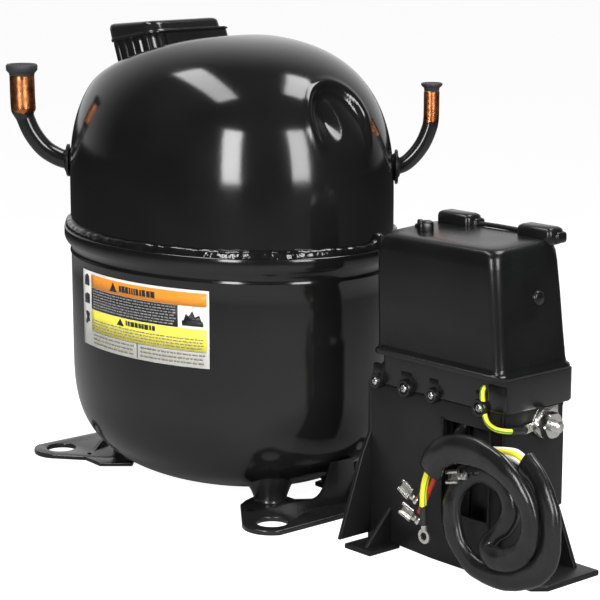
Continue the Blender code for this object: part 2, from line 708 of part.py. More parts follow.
def pump():
    """Crankcase with bearing and cylinder, rod, piston, valve plate and head."""
    face = SHAFT_X + 0.0800
    base = block((SHAFT_X - 0.0300, -0.0300, 0.1502), (face - 0.004, 0.0300, 0.1630), 0.003)
    legs = [block((x - 0.009, y - 0.009, STATOR_Z[1] + GAP), (x + 0.009, y + 0.009, 0.1600), 0.002)
            for x, y in corners(LEG, LEG)]
    arms = [block((-0.058, y - 0.006, 0.1506), (0.058, y + 0.006, 0.1592), 0.002) for y in (-LEG, LEG)]
    ties = [block((x - 0.007, -0.0545, 0.1511), (x + 0.007, 0.0545, 0.1582), 0.0018)
            for x in (-0.0335, 0.0335)]
    hub = rod((SHAFT_X, 0, 0.1360), (SHAFT_X, 0, 0.1680), 0.0175, 28)
    sleeve = rod((SHAFT_X + 0.0260, 0, CYLINDER_Z), (face - 0.001, 0, CYLINDER_Z), 0.0310, 32)
    flange = block((face - 0.0100, -0.0336, CYLINDER_Z - 0.0336),
                   (face, 0.0336, CYLINDER_Z + 0.0336), 0.002)
    body = joined(base, *legs, *arms, *ties, hub, sleeve, flange)
    body = cut(body, rod((SHAFT_X - 0.02, 0, CYLINDER_Z), (face + 0.01, 0, CYLINDER_Z), BORE_RADIUS, 32))
    body = cut(body, rod((SHAFT_X, 0, 0.12), (SHAFT_X, 0, 0.18), SHAFT_RADIUS + GAP, 24))
    body = cut(body, rod((SHAFT_X, 0, 0.1682), (SHAFT_X, 0, 0.24), 0.0225, 32))
    for x, y in corners(LEG, LEG):
        body = cut(body, rod((x, y, 0.12), (x, y, 0.1586), 0.0030 + GAP, 12))
    finish(body, "crankcase", CAST_IRON)

    pin = Vector((SHAFT_X + THROW, 0.0, 0.0))
    wrist_x = pin.x + ROD_LENGTH
    big = rod((pin.x, 0, 0.1815), (pin.x, 0, 0.1965), 0.0125, 24)
    shank = block((pin.x + 0.005, -0.0050, CYLINDER_Z - 0.0045),
                  (wrist_x, 0.0050, CYLINDER_Z + 0.0045), 0.001)
    small = rod((wrist_x, 0, CYLINDER_Z - 0.0065), (wrist_x, 0, CYLINDER_Z + 0.0065), 0.0085, 20)
    link = joined(big, shank, small)
    link = cut(link, rod((pin.x, 0, 0.17), (pin.x, 0, 0.21), 0.0078 + GAP, 20))
    link = cut(link, rod((wrist_x, 0, 0.17), (wrist_x, 0, 0.21), 0.0050 + GAP, 16))
    finish(pivot(link, pin), "connecting_rod", ALUMINIUM)
    wrist = rod((wrist_x, 0, CYLINDER_Z - 0.0140), (wrist_x, 0, CYLINDER_Z + 0.0140), 0.0050, 16)
    finish(pivot(wrist, pin), "wrist_pin", STEEL)

    crown = SHAFT_X + 0.0795
    skirt = SHAFT_X + 0.0380
    piston = rod((skirt, 0, CYLINDER_Z), (crown, 0, CYLINDER_Z), BORE_RADIUS - GAP, 32)
    piston = cut(piston, rod((skirt - 0.01, 0, CYLINDER_Z), (crown - 0.0040, 0, CYLINDER_Z), 0.0213, 28))
    finish(pivot(piston, (crown, 0, CYLINDER_Z)), "piston", STEEL)

    half = 0.0320
    plate = block((face + GAP, -half, CYLINDER_Z - half), (face + 0.0035, half, CYLINDER_Z + half))
    for y in (-0.010, 0.010):
        plate = cut(plate, rod((face - 0.01, y, CYLINDER_Z), (face + 0.02, y, CYLINDER_Z), 0.0035, 14))
    finish(plate, "valve_plate", STEEL)
    head_low = face + 0.0035 + GAP
    head = block((head_low, -half, CYLINDER_Z - half), (head_low + 0.0130, half, CYLINDER_Z + half), 0.002)
    for y in (-1, 1):
        chamber = block((head_low - 0.01, min(0.002 * y, 0.026 * y), CYLINDER_Z - 0.022),
                        (head_low + 0.0100, max(0.002 * y, 0.026 * y), CYLINDER_Z + 0.022))
        head = cut(head, chamber)
    finish(head, "cylinder_head", ALUMINIUM)

    muffler = block((SHAFT_X + 0.030, -0.066, 0.1640), (SHAFT_X + 0.062, -0.0360, 0.2080), 0.005)
    finish(muffler, "suction_muffler", WHITE_PLASTIC)
    loop = ((SHAFT_X + 0.0600, 0.0345, 0.1850), (SHAFT_X + 0.0600, 0.0450, 0.1850),
            (SHAFT_X + 0.0480, 0.0580, 0.1900), (SHAFT_X + 0.0150, 0.0640, 0.2000),
            (SHAFT_X - 0.0200, 0.0600, 0.2100), (SHAFT_X - 0.0250, 0.0450, 0.2200),
            (SHAFT_X + 0.0050, 0.0420, 0.2260), (SHAFT_X + 0.0350, 0.0450, 0.2200),
            (SHAFT_X + 0.0600, 0.0430, 0.2050))
    finish(wire(smooth_route(loop, 0.006), 0.0022, 1), "discharge_loop", COPPER)


# ---------------------------------------------------------------- electrical box
def bracket():
    """Front plate, two side walls and two feet, open at the back."""
    left, right = BRACKET_X
    front, back, sheet = BRACKET_FRONT_Y, BRACKET_BACK_Y, BRACKET_SHEET
    plate = [(left, 0.0030), (left + 0.048, 0.0010), (right, 0.0010), (right, BRACKET_TOP_Z),
             (left, BRACKET_TOP_Z)]
    body = upright_plate(plate, front, front + sheet, "Y")
    window = block((left + 0.0560, front - 0.01, 0.0300), (right - 0.0080, front + 0.01, 0.0800))
    body = cut(body, window)
    wing = [(front - 0.0225, 0.0045), (back, 0.0045), (back, BRACKET_TOP_Z), (front, BRACKET_TOP_Z),
            (front, 0.0620), (front - 0.0060, 0.0500)]
    side = [(front, 0.0), (back, 0.0), (back, 0.0240), (back - 0.0025, 0.0240), (back - 0.0025, 0.0340),
            (back, 0.0340), (back, BRACKET_TOP_Z), (front, BRACKET_TOP_Z)]
    body = joined(body, upright_plate(wing, left - sheet, left + 0.0002),
                  upright_plate(side, right - sheet, right))
    shelf = block((left, front, BRACKET_TOP_Z - 0.0026), (right, back, BRACKET_TOP_Z))
    shelf = cut(shelf, block((left + 0.020, front + 0.010, 0.0), (right - 0.020, back - 0.008, 0.2)))
    shelf = cut(shelf, rod((*FEED_HOLE, 0.080), (*FEED_HOLE, 0.100), FEED_RADIUS + 0.0015, 14))
    body = joined(body, shelf)
    rib_x, panel_y = left + 0.0500, front + 0.0150
    body = joined(body, block((rib_x, panel_y, 0.0030), (right - sheet * 0.5, panel_y + sheet, BRACKET_TOP_Z - 0.0020)),
                  block((rib_x, front + sheet * 0.5, 0.0034), (rib_x + sheet, panel_y + 0.0010, BRACKET_TOP_Z - 0.0034)))
    gusset = [(front - 0.0200, 0.0010), (front + 0.001, 0.0010), (front + 0.001, 0.0230)]
    body = joined(body, upright_plate(gusset, left + 0.0140, left + 0.0166),
                  block((left + 0.0020, front - 0.0210, 0.0), (left + 0.0220, front + 0.0015, 0.0030)),
                  block((left - 0.0020, front, 0.0), (left + 0.0060, back, 0.0050)))
    brace = [(right - 0.001, 0.0010), (right + 0.0160, 0.0010), (right - 0.001, 0.0400)]
    body = joined(body, upright_plate(brace, back - 0.0060, back - 0.0034, "Y"),
                  block((right - 0.0010, -0.0260, 0.0), (right + 0.0250, back + 0.0020, 0.0032)))
    body = cut(body, rod((EARTH.x - 0.02, EARTH.y, EARTH.z), (EARTH.x + 0.02, EARTH.y, EARTH.z),
                         0.0030 + GAP, 14))
    return finish(body, "box_bracket", BRACKET_PAINT)


def box_base():
    """The tray under the cover, with four screw lugs and the latch post."""
    (left, right), (front, back) = BOX_X, BOX_Y
    tray = block((left - 0.001, front + 0.004, BOX_FLOOR_Z),
                 (right + 0.001, back + 0.003, BOX_RIM_Z - GAP), 0.0008)
    hollow = block((left + 0.0015, front + 0.0065, BOX_FLOOR_Z + 0.0025),
                   (right - 0.0015, back + 0.0005, 0.2))
    tray = cut(tray, hollow)
    lugs = [block((x - 0.0055, BRACKET_FRONT_Y - 0.0045, SCREW_Z - 0.0060),
                  (x + 0.0055, BRACKET_FRONT_Y - GAP, SCREW_Z + 0.0060), 0.001) for x in SCREW_X]
    tray = joined(tray, *lugs)
    post = [block((left - 0.0042, front + 0.020, BOX_FLOOR_Z + 0.004),
                  (left + 0.0005, front + 0.030, BOX_RIM_Z - 0.001), 0.0006)]
    tray = joined(tray, *post)
    for x in SCREW_X:
        tray = cut(tray, rod((x, -0.06, SCREW_Z), (x, BRACKET_FRONT_Y + 0.003, SCREW_Z), 0.0016 + GAP, 12))
    tray = cut(tray, rod((0.2448, -0.05, 0.1036), (0.2448, -0.02, 0.1036), 0.0024, 14))
    tray = cut(tray, rod((*FEED_HOLE, 0.080), (*FEED_HOLE, 0.100), FEED_RADIUS + 0.0012, 14))
    return finish(tray, "box_base", BRACKET_PAINT)


def drafted_block(inset, low, high):
    """The cover's outside, leaning a little, moved in by the inset."""
    (left, right), (front, back) = BOX_X, BOX_Y
    rows = ((0.0012, low), (0.0, low + 0.004), (-0.0016, high - 0.006), (-0.0046, high))
    bm = bmesh.new()
    loops = []
    for grow, z in rows:
        share = (z - BOX_RIM_Z) / (BOX_TOP_Z - BOX_RIM_Z)
        lean = Vector((-0.0016, -0.0040)) * share
        x0, x1 = left - grow + inset + lean.x, right + grow - inset + lean.x
        y0, y1 = front - grow + inset + lean.y, back + grow - inset + lean.y
        radius = 0.0055
        outline = [*arc((x1 - radius, y1 - radius), radius, 0, 90, 4),
                   *arc((x0 + radius, y1 - radius), radius, 90, 180, 4),
                   *arc((x0 + radius, y0 + radius), radius, 180, 270, 4),
                   *arc((x1 - radius, y0 + radius), radius, 270, 360, 4)]
        loops.append([bm.verts.new((x, y, z)) for x, y in outline])
    for lower, upper in zip(loops, loops[1:]):
        for index in range(len(lower)):
            after = (index + 1) % len(lower)
            bm.faces.new((lower[index], lower[after], upper[after], upper[index]))
    bm.faces.new(list(reversed(loops[0])))
    bm.faces.new(loops[-1])
    return mesh_object(bm)


def box_cover():
    """A deep drafted cap, open downwards, with two clips that carry a bar on its back edge."""
    (left, right), (front, back) = BOX_X, BOX_Y
    cover = drafted_block(0.0, BOX_RIM_Z, BOX_TOP_Z)
    cover = cut(cover, drafted_block(BOX_WALL, BOX_RIM_Z - 0.02, BOX_TOP_Z - BOX_WALL))
    clips = [block((x - CLIP_HALF, CLIP_Y - 0.0065, BOX_TOP_Z - 0.0030),
                   (x + CLIP_HALF, CLIP_Y + 0.0055, BOX_TOP_Z + 0.0070), 0.0020) for x in CLIP_X]
    hook = block((left + 0.0130, front + 0.0140, BOX_TOP_Z - 0.0030),
                 (left + 0.0215, front + 0.0245, BOX_TOP_Z + 0.0045), 0.0016)
    cover = joined(cover, *clips, hook)
    slot = rod((left, CLIP_Y + 0.0020, BAR_Z), (right, CLIP_Y + 0.0020, BAR_Z), 0.0013 + GAP, 12)
    cover = cut(cover, slot, drafted_block(BOX_WALL, BOX_RIM_Z - 0.02, BOX_TOP_Z - BOX_WALL))
    finish(cover, "box_cover", BOX_PLASTIC)
    bar = rod((CLIP_X[0] - CLIP_HALF + 0.004, CLIP_Y + 0.0020, BAR_Z),
              (CLIP_X[1] + CLIP_HALF - 0.004, CLIP_Y + 0.0020, BAR_Z), 0.0013, 12)
    finish(bar, "clip_bar", BRACKET_PAINT)


def box_insides():
    left, front = BOX_X[0], BOX_Y[0]
    floor = BOX_FLOOR_Z + 0.0025 + GAP
    y, z = front + 0.026, floor + 0.0195
    can = rod((left + 0.012, y, z), (left + 0.058, y, z), 0.0170, 24)
    end_cap = rod((left + 0.057, y, z), (left + 0.061, y, z), 0.0140, 24)
    cradle = block((left + 0.016, y - 0.010, floor), (left + 0.054, y + 0.010, floor + 0.006))
    finish(joined(can, end_cap, cradle), "start_capacitor", CAPACITOR_CASE)
    relay = block((left + 0.064, front + 0.018, floor),
                  (left + 0.086, front + 0.044, floor + 0.040), 0.002)
    finish(relay, "start_relay", WHITE_PLASTIC)


def fasteners():
    for number, x in enumerate(SCREW_X, 1):
        front = BRACKET_FRONT_Y - 0.0045 - GAP
        head = rod((x, front - 0.0022, SCREW_Z), (x, front, SCREW_Z), 0.0030, 16, 0.0034)
        shank = rod((x, front - 0.0005, SCREW_Z), (x, BRACKET_FRONT_Y - 0.0008, SCREW_Z), 0.0016, 10)
        finish(joined(head, shank), f"lug_screw_{number}", ZINC)
    wall = Vector((BRACKET_X[1], EARTH.y, EARTH.z))
    along = Vector((1, 0, 0))
    inner_face = wall - along * BRACKET_SHEET
    bolt = joined(rod(inner_face - along * 0.0050, wall + along * 0.0150, 0.0030, 14),
                  rod(inner_face - along * 0.0045, inner_face - along * GAP, 0.0054, 6))
    finish(bolt, "earth_bolt", ZINC)
    hole = (wall - along * 0.01, wall + along * 0.02, 0.0030 + GAP, 14)
    tab = joined(rod(wall + along * GAP, wall + along * 0.0014, 0.0065, 20),
                 block(wall + Vector((GAP, 0, -0.004)), wall + Vector((0.0014, 0.0120, 0.0082))))
    finish(cut(tab, rod(*hole)), "earth_tab", ZINC)
    lug = joined(rod(wall + along * 0.0017, wall + along * 0.0030, 0.0060, 20),
                 block(wall + Vector((0.0017, -0.0140, -0.0036)), wall + Vector((0.0030, 0, 0.0014))))
    finish(cut(lug, rod(*hole)), "earth_lug", ZINC)
    nut = joined(rod(wall + along * 0.0033, wall + along * 0.0048, 0.0075, 24),
                 rod(wall + along * 0.0045, wall + along * 0.0105, 0.0070, 6))
    finish(cut(nut, rod(*hole)), "earth_nut", ZINC)


def earth_wire():
    """From the tray's front corner down and round to the lug on the right wall."""
    x = BRACKET_X[1]
    route = ((0.2445, -0.0270, 0.1040), (0.2448, -0.0315, 0.1036), (0.2458, -0.0345, 0.0990),
             (0.2472, -0.0350, 0.0920), (0.2510, -0.0352, 0.0868), (0.2570, -0.0335, 0.0842),
             (0.2598, -0.0280, 0.0828), (0.2600, -0.0215, 0.0818),
             (x + 0.0026, EARTH.y - 0.0143, EARTH.z - 0.0012))
    finish(wire(smooth_route(route, 0.0045), 0.0014, 2), "earth_wire", EARTH_COLOUR)


# ---------------------------------------------------------------- harness
def coil_frame():
    """Axes of the coil: its own Z is the coil's axis, pointing at the viewer's side."""
    turn = Matrix.Rotation(math.radians(90) - COIL_LEAN, 4, "X")
    return Matrix.Translation(COIL_CENTRE) @ turn


def harness():
    """The feed cable, one closed ring where the sleeve is wound, and the bundle of leads."""
    finish(wire(smooth_route(FEED_ROUTE, 0.0050), FEED_RADIUS, 2), "harness_feed", SLEEVE)
    half = COIL_HALF_WIDTH
    inner = COIL_BORE
    corner = 0.0035
    profile = ((COIL_RADIUS - corner, half), (COIL_RADIUS, half - corner), (COIL_RADIUS, corner - half),
               (COIL_RADIUS - corner, -half), (inner + corner, -half), (inner, corner - half),
               (inner, half - corner), (inner + corner, half), (COIL_RADIUS - corner, half))
    coil = turned(profile, 32)
    coil.data.transform(coil_frame())
    finish(coil, "harness_coil", SLEEVE)
    finish(upright_plate(LEADS_OUTLINE, *LEADS_Y, "Y"), "harness_leads", SLEEVE)


assembly = None


def build():
    global assembly
    clear_scene()
    bpy.context.scene.collection.children.link(parts)
    bpy.context.scene.collection.children.link(cutters)
    assembly = bpy.data.objects.new("assembly", None)
    parts.objects.link(assembly)
    assembly.location = SHELL_AXIS
    lower_shell()
    upper_shell()
    weld_bead()
    label()
    rail(1, "base_rail_box_side")
    rail(-1, "base_rail_far_side")
    for kind in STUBS:
        stub(kind)
    collar("suction", 0.0100)
    collar("discharge", 0.0102)
    terminal()
    terminal_fence()
    terminal_cover()
    mount_springs()
    stator()
    rotating_set()
    pump()
    bracket()
    box_base()
    box_cover()
    box_insides()
    fasteners()
    earth_wire()
    harness()


build()
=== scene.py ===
"""Looks of a hermetic reciprocating compressor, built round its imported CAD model.

Lengths are in metres. Pieces are drawn from the vertical axis of the oval shell and are
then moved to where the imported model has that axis.
"""
import random
from math import cos, degrees, exp, hypot, pi, radians, sin, tan

import bmesh
import bpy
from mathutils import Matrix, Vector, noise

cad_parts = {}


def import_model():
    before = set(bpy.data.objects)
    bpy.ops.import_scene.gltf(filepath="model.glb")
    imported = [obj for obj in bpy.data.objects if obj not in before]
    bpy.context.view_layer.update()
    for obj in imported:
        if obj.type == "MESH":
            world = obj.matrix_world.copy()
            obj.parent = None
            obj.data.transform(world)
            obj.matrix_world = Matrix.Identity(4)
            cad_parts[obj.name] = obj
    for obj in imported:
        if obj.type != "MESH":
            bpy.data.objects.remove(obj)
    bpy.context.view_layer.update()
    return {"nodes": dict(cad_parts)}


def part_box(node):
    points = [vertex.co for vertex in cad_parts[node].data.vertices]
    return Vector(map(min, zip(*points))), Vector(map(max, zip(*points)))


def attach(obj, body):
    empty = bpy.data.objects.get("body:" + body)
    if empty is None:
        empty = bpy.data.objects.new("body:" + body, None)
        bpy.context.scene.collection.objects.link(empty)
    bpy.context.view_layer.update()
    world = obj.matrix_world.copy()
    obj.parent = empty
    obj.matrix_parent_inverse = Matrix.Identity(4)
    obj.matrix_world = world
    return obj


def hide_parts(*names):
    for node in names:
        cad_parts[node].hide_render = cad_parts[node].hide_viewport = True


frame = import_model()

SEED = 7
shell_low, shell_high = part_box("lower_shell")
AXIS = Vector(((shell_low[0] + shell_high[0]) / 2, (shell_low[1] + shell_high[1]) / 2, 0.0))

# the shell, as in the CAD model
SHELL_A = 0.112
SHELL_B = 0.086
WALL = 0.0032
DOME_BASE_Z = 0.175
DOME_TOP_Z = 0.269
DOME_POWER = 2.7
CUP_TOP_Z = 0.075
CUP_BOTTOM_Z = 0.0018
CUP_POWER = 3.0
SEAM_Z = 0.152
FLARE_Z = 0.14
FLARE = 0.0038
FACET_X = -0.018
FACET_Z = 0.2655
FACET_TILT = radians(21)


# ---------------------------------------------------------------- camera, lights, floor
def camera():
    data = bpy.data.cameras.new("camera")
    data.lens = 124.7
    data.sensor_width = 36.0
    data.clip_end = 20.0
    item = bpy.data.objects.new("camera", data)
    item.location = AXIS + Vector((0.96325, -0.78468, 0.36046))
    item.rotation_euler = (radians(90 - 11.51), 0.0, radians(48.86))
    bpy.context.scene.collection.objects.link(item)
    bpy.context.scene.camera = item


def area_light(name, place, target, width, height, power):
    data = bpy.data.lights.new(name, "AREA")
    data.shape = "RECTANGLE"
    data.size = width
    data.size_y = height
    data.energy = power
    item = bpy.data.objects.new(name, data)
    item.location = AXIS + Vector(place)
    item.rotation_euler = (AXIS + Vector(target) - item.location).to_track_quat("-Z", "Y").to_euler()
    bpy.context.scene.collection.objects.link(item)
    return item


def around(azimuth, distance, z):
    turn = radians(azimuth)
    return Vector((cos(turn) * distance, sin(turn) * distance, z))


def lights():
    middle, over = (0.0, 0.0, 0.2), (0.0, 0.0, 0.22)
    area_light("window_left", around(-66, 1.6, 0.62), middle, 0.34, 0.95, 17)
    area_light("window_right", around(-15, 1.6, 0.7), middle, 0.46, 1.0, 19)
    area_light("overhead_front", (-0.36, -0.56, 1.62), over, 1.2, 0.36, 12)
    area_light("overhead_back", (0.42, 0.5, 1.62), over, 0.8, 0.6, 16)
    for name, place, width, height, power in (("fill_top", (0.0, 0.2, 3.2), 3.0, 3.0, 10),
            ("fill_front", (2.0, -1.7, 1.3), 2.0, 1.6, 12)):
        area_light(name, place, middle, width, height, power).visible_glossy = False


def world():
    """Pale all round for the eye; for reflections, pale behind the object and dim in front."""
    made = bpy.data.worlds.new("studio")
    bpy.context.scene.world = made
    made.use_nodes = True
    nodes, links = made.node_tree.nodes, made.node_tree.links
    nodes.clear()
    coords = nodes.new("ShaderNodeTexCoord")
    heading = nodes.new("ShaderNodeVectorMath")
    heading.operation = "DOT_PRODUCT"
    heading.inputs[1].default_value = (-0.753, 0.658, 0.0)
    links.new(coords.outputs["Generated"], heading.inputs[0])
    ramp = ramp_node(nodes, links, heading.outputs["Value"], 0.2, 1.0, 0.012, 1.1)
    ramp.interpolation_type = "SMOOTHSTEP"
    studio, pale = nodes.new("ShaderNodeBackground"), nodes.new("ShaderNodeBackground")
    links.new(ramp.outputs["Result"], studio.inputs["Strength"])
    pale.inputs["Color"].default_value = (1.0, 1.0, 1.0, 1.0)
    path = nodes.new("ShaderNodeLightPath")
    shader = mixed(nodes, links, path.outputs["Is Camera Ray"], studio, pale)
    links.new(shader, nodes.new("ShaderNodeOutputWorld").inputs["Surface"])


# ---------------------------------------------------------------- materials
def noise_node(nodes, links, coords, scale, detail=3.0, stretch=None):
    made = nodes.new("ShaderNodeTexNoise")
    made.inputs["Scale"].default_value = scale
    made.inputs["Detail"].default_value = detail
    source = coords.outputs["Object"]
    if stretch:
        mapping = nodes.new("ShaderNodeMapping")
        mapping.inputs["Scale"].default_value = stretch
        links.new(source, mapping.inputs["Vector"])
        source = mapping.outputs["Vector"]
    links.new(source, made.inputs["Vector"])
    return made


def ramp_node(nodes, links, source, low, high, low_value, high_value):
    made = nodes.new("ShaderNodeMapRange")
    for name, value in (("From Min", low), ("From Max", high), ("To Min", low_value), ("To Max", high_value)):
        made.inputs[name].default_value = value
    links.new(source, made.inputs["Value"])
    return made


def mixed(nodes, links, share, first, second):
    """A shader that goes from the first to the second as the share goes from 0 to 1."""
    mix = nodes.new("ShaderNodeMixShader")
    links.new(share, mix.inputs["Fac"])
    links.new(first.outputs[0], mix.inputs[1])
    links.new(second.outputs[0], mix.inputs[2])
    return mix.outputs["Shader"]


def surface(name, colour, roughness, metallic=0.0, second=None, grain=120.0, spread=0.06,
        bump=0.3, bump_scale=500.0, depth=0.00005, stretch=None, specular=0.5, coat=0.0, speckle=None):
    """A Principled material whose colour, roughness and relief vary over the surface."""
    made = bpy.data.materials.new(name)
    made.use_nodes = True
    nodes, links = made.node_tree.nodes, made.node_tree.links
    shader = nodes["Principled BSDF"]
    shader.inputs["Metallic"].default_value = metallic
    shader.inputs["Specular IOR Level"].default_value = specular
    shader.inputs["Coat Weight"].default_value = coat
    shader.inputs["Coat Roughness"].default_value = 0.08
    coords = nodes.new("ShaderNodeTexCoord")
    blotch = noise_node(nodes, links, coords, grain, 4.0, stretch)
    tint = nodes.new("ShaderNodeMix")
    tint.data_type = "RGBA"
    tint.inputs["A"].default_value = (*colour, 1.0)
    tint.inputs["B"].default_value = (*(second or [min(1.0, c * 1.5 + 0.002) for c in colour]), 1.0)
    share = ramp_node(nodes, links, blotch.outputs["Fac"], 0.35, 0.68, 0.0, 1.0)
    links.new(share.outputs["Result"], tint.inputs["Factor"])
    result = tint.outputs["Result"]
    if speckle:
        dots = noise_node(nodes, links, coords, speckle[0], 2.0)
        mask = ramp_node(nodes, links, dots.outputs["Fac"], speckle[1], speckle[1] + 0.03, 0.0, 1.0)
        flecks = nodes.new("ShaderNodeMix")
        flecks.data_type = "RGBA"
        flecks.inputs["B"].default_value = (*speckle[2], 1.0)
        links.new(mask.outputs["Result"], flecks.inputs["Factor"])
        links.new(result, flecks.inputs["A"])
        result = flecks.outputs["Result"]
    links.new(result, shader.inputs["Base Color"])
    patch = noise_node(nodes, links, coords, grain * 0.4, 3.0, stretch)
    gloss = ramp_node(nodes, links, patch.outputs["Fac"], 0.3, 0.7, max(0.02, roughness - spread), roughness + spread)
    links.new(gloss.outputs["Result"], shader.inputs["Roughness"])
    relief = noise_node(nodes, links, coords, bump_scale, 2.0, stretch)
    bumps = nodes.new("ShaderNodeBump")
    bumps.inputs["Strength"].default_value = bump
    bumps.inputs["Distance"].default_value = depth
    links.new(relief.outputs["Fac"], bumps.inputs["Height"])
    links.new(bumps.outputs["Normal"], shader.inputs["Normal"])
    return made


def tube_finish():
    """Bare copper with a ragged edge where the shell's black paint ends."""
    made = surface("copper_painted", (0.5, 0.155, 0.05), 0.3, 1.0, (0.8, 0.33, 0.14), 420.0, 0.1, 0.6, 900.0, 0.00006)
    nodes, links = made.node_tree.nodes, made.node_tree.links
    bare = nodes["Principled BSDF"]
    paint = nodes.new("ShaderNodeBsdfPrincipled")
    paint.inputs["Base Color"].default_value = (0.01, 0.01, 0.01, 1.0)
    paint.inputs["Roughness"].default_value = 0.14
    coords = nodes.new("ShaderNodeTexCoord")
    split = nodes.new("ShaderNodeSeparateXYZ")
    links.new(coords.outputs["Object"], split.inputs["Vector"])
    ragged = noise_node(nodes, links, coords, 260.0, 4.0)
    wave = ramp_node(nodes, links, ragged.outputs["Fac"], 0.3, 0.7, -0.0016, 0.0016)
    height = nodes.new("ShaderNodeMath")
    links.new(split.outputs["Z"], height.inputs[0])
    links.new(wave.outputs["Result"], height.inputs[1])
    edge = ramp_node(nodes, links, height.outputs["Value"], PAINT_EDGE_Z - 0.0003, PAINT_EDGE_Z + 0.0003, 0.0, 1.0)
    shader = mixed(nodes, links, edge.outputs["Result"], paint, bare)
    links.new(shader, nodes["Material Output"].inputs["Surface"])
    return made


PAINT_EDGE_Z = 0.22


def make_materials():
    black = (0.0065, 0.0068, 0.0066)
    made = {"paint": surface("black_enamel", black, 0.13, 0, (0.009, 0.0095, 0.009), 30, 0.03, 0.22, 260, 0.00007,
                         speckle=(1400, 0.83, (0.05, 0.05, 0.048))),
        "rail": surface("rail_enamel", (0.008, 0.0085, 0.008), 0.24, 0, (0.014, 0.015, 0.014), 60, 0.07,
                        0.5, 420, 0.00012),
        "weld": surface("painted_weld", (0.006, 0.006, 0.006), 0.09, 0, (0.01, 0.01, 0.01), 200, 0.05,
                        0.55, 340, 0.0006), "copper": tube_finish(),
        "rubber": surface("plug_rubber", (0.022, 0.023, 0.024), 0.62, 0, (0.034, 0.035, 0.036), 300, 0.08,
                          0.5, 1600, 0.00008),
        "cover": surface("moulded_black", (0.009, 0.0095, 0.009), 0.17, 0, (0.013, 0.014, 0.013), 50, 0.05,
                         0.35, 700, 0.00005),
        "box": surface("box_plastic", (0.0055, 0.0058, 0.0058), 0.25, 0, (0.0085, 0.009, 0.009), 40, 0.05,
                       0.4, 900, 0.00006, speckle=(1500, 0.82, (0.04, 0.04, 0.04)), specular=0.4),
        "bracket": surface("bracket_black", (0.0055, 0.0058, 0.0056), 0.42, 0, (0.0085, 0.009, 0.0085), 45, 0.06,
                           0.4, 1100, 0.00006, specular=0.38),
        "zinc": surface("zinc_plate", (0.62, 0.62, 0.6), 0.26, 1.0, (0.8, 0.79, 0.74), 260, 0.08, 0.5, 900, 0.00006),
        "tin": surface("tinned_brass", (0.7, 0.69, 0.66), 0.28, 1.0, (0.88, 0.86, 0.8), 500, 0.08, 0.5, 1500,
        0.00005),
        "steel": surface("steel", (0.42, 0.42, 0.42), 0.34, 1.0, (0.6, 0.6, 0.58), 180, 0.08, 0.4, 700, 0.00004),
        "lamination": surface("lamination", (0.2, 0.21, 0.23), 0.45, 0.9, (0.3, 0.31, 0.33), 90, 0.1,
                              1.0, 60, 0.0004, (1, 1, 30)),
        "winding": surface("winding", (0.34, 0.09, 0.03), 0.32, 0.6, (0.55, 0.2, 0.07), 200, 0.1, 1.0, 60, 0.0008,
                           (1, 1, 14)),
        "aluminium": surface("cast_aluminium", (0.55, 0.56, 0.57), 0.42, 1.0, (0.7, 0.71, 0.71), 160, 0.1, 0.8, 420,
                             0.0002),
        "iron": surface("cast_iron", (0.1, 0.1, 0.105), 0.62, 0.7, (0.17, 0.17, 0.175), 140, 0.1, 1.0, 320, 0.0004),
        "white": surface("white_plastic", (0.68, 0.67, 0.62), 0.45, 0, (0.76, 0.75, 0.7), 60, 0.06, 0.4, 700,
        0.00005),
        "glass": surface("terminal_glass", (0.03, 0.06, 0.05), 0.12, 0, (0.05, 0.09, 0.07), 200, 0.04, 0.3, 400,
        0.00005),
        "sleeve": surface("sleeve_film", (0.007, 0.0074, 0.0074), 0.26, 0, (0.012, 0.0125, 0.0125), 70, 0.07,
                          0.45, 110, 0.0004),}
    for key, name, colour, second, roughness, grain in (
            ("green", "earth_yellow", (0.8, 0.74, 0.03), (0.88, 0.83, 0.07), 0.34, 220),
            ("stripe", "earth_green", (0.1, 0.34, 0.03), (0.16, 0.44, 0.05), 0.36, 220),
            ("red", "lead_red", (0.3, 0.022, 0.014), (0.4, 0.04, 0.02), 0.36, 240),
            ("brown", "lead_brown", (0.085, 0.02, 0.012), (0.12, 0.03, 0.02), 0.36, 240),
            ("pale", "lead_white", (0.78, 0.77, 0.72), (0.86, 0.85, 0.8), 0.38, 240),
            ("black", "lead_black", (0.012, 0.012, 0.012), (0.02, 0.02, 0.02), 0.34, 240)):
        made[key] = surface(name, colour, roughness, 0, second, grain, 0.06, 0.4, 900, 0.00004)
    return made


# ---------------------------------------------------------------- mesh tools
def link(data, name):
    item = bpy.data.objects.new(name, data)
    bpy.context.scene.collection.objects.link(item)
    return item


def from_bmesh(bm, name, sharp=40, outward=True):
    if outward:
        bmesh.ops.recalc_face_normals(bm, faces=bm.faces)
    data = bpy.data.meshes.new(name)
    bm.to_mesh(data)
    bm.free()
    data.shade_smooth()
    data.set_sharp_from_angle(angle=radians(sharp))
    return link(data, name)


def merge(bm, distance=1e-7):
    """Joins points that coincide."""
    bmesh.ops.remove_doubles(bm, verts=bm.verts, dist=distance)


def add_grid(bm, rows, closed=True, caps=(False, False), index=0):
    """Quads between rows of points; rows may close on themselves and end in caps."""
    loops = [[bm.verts.new(point) for point in row] for row in rows]
    for lower, upper in zip(loops, loops[1:]):
        count = len(lower) if closed else len(lower) - 1
        for i in range(count):
            j = (i + 1) % len(lower)
            bm.faces.new((lower[i], lower[j], upper[j], upper[i])).material_index = index
    for wanted, loop in zip(caps, (loops[0], loops[-1])):
        if wanted:
            bm.faces.new(loop).material_index = index
    return loops


def ring(radius, z, steps, place=Matrix()):
    """Points on a circle about a frame's Z."""
    angles = [2 * pi * step / steps for step in range(steps)]
    return [place @ Vector((radius * cos(angle), radius * sin(angle), z)) for angle in angles]


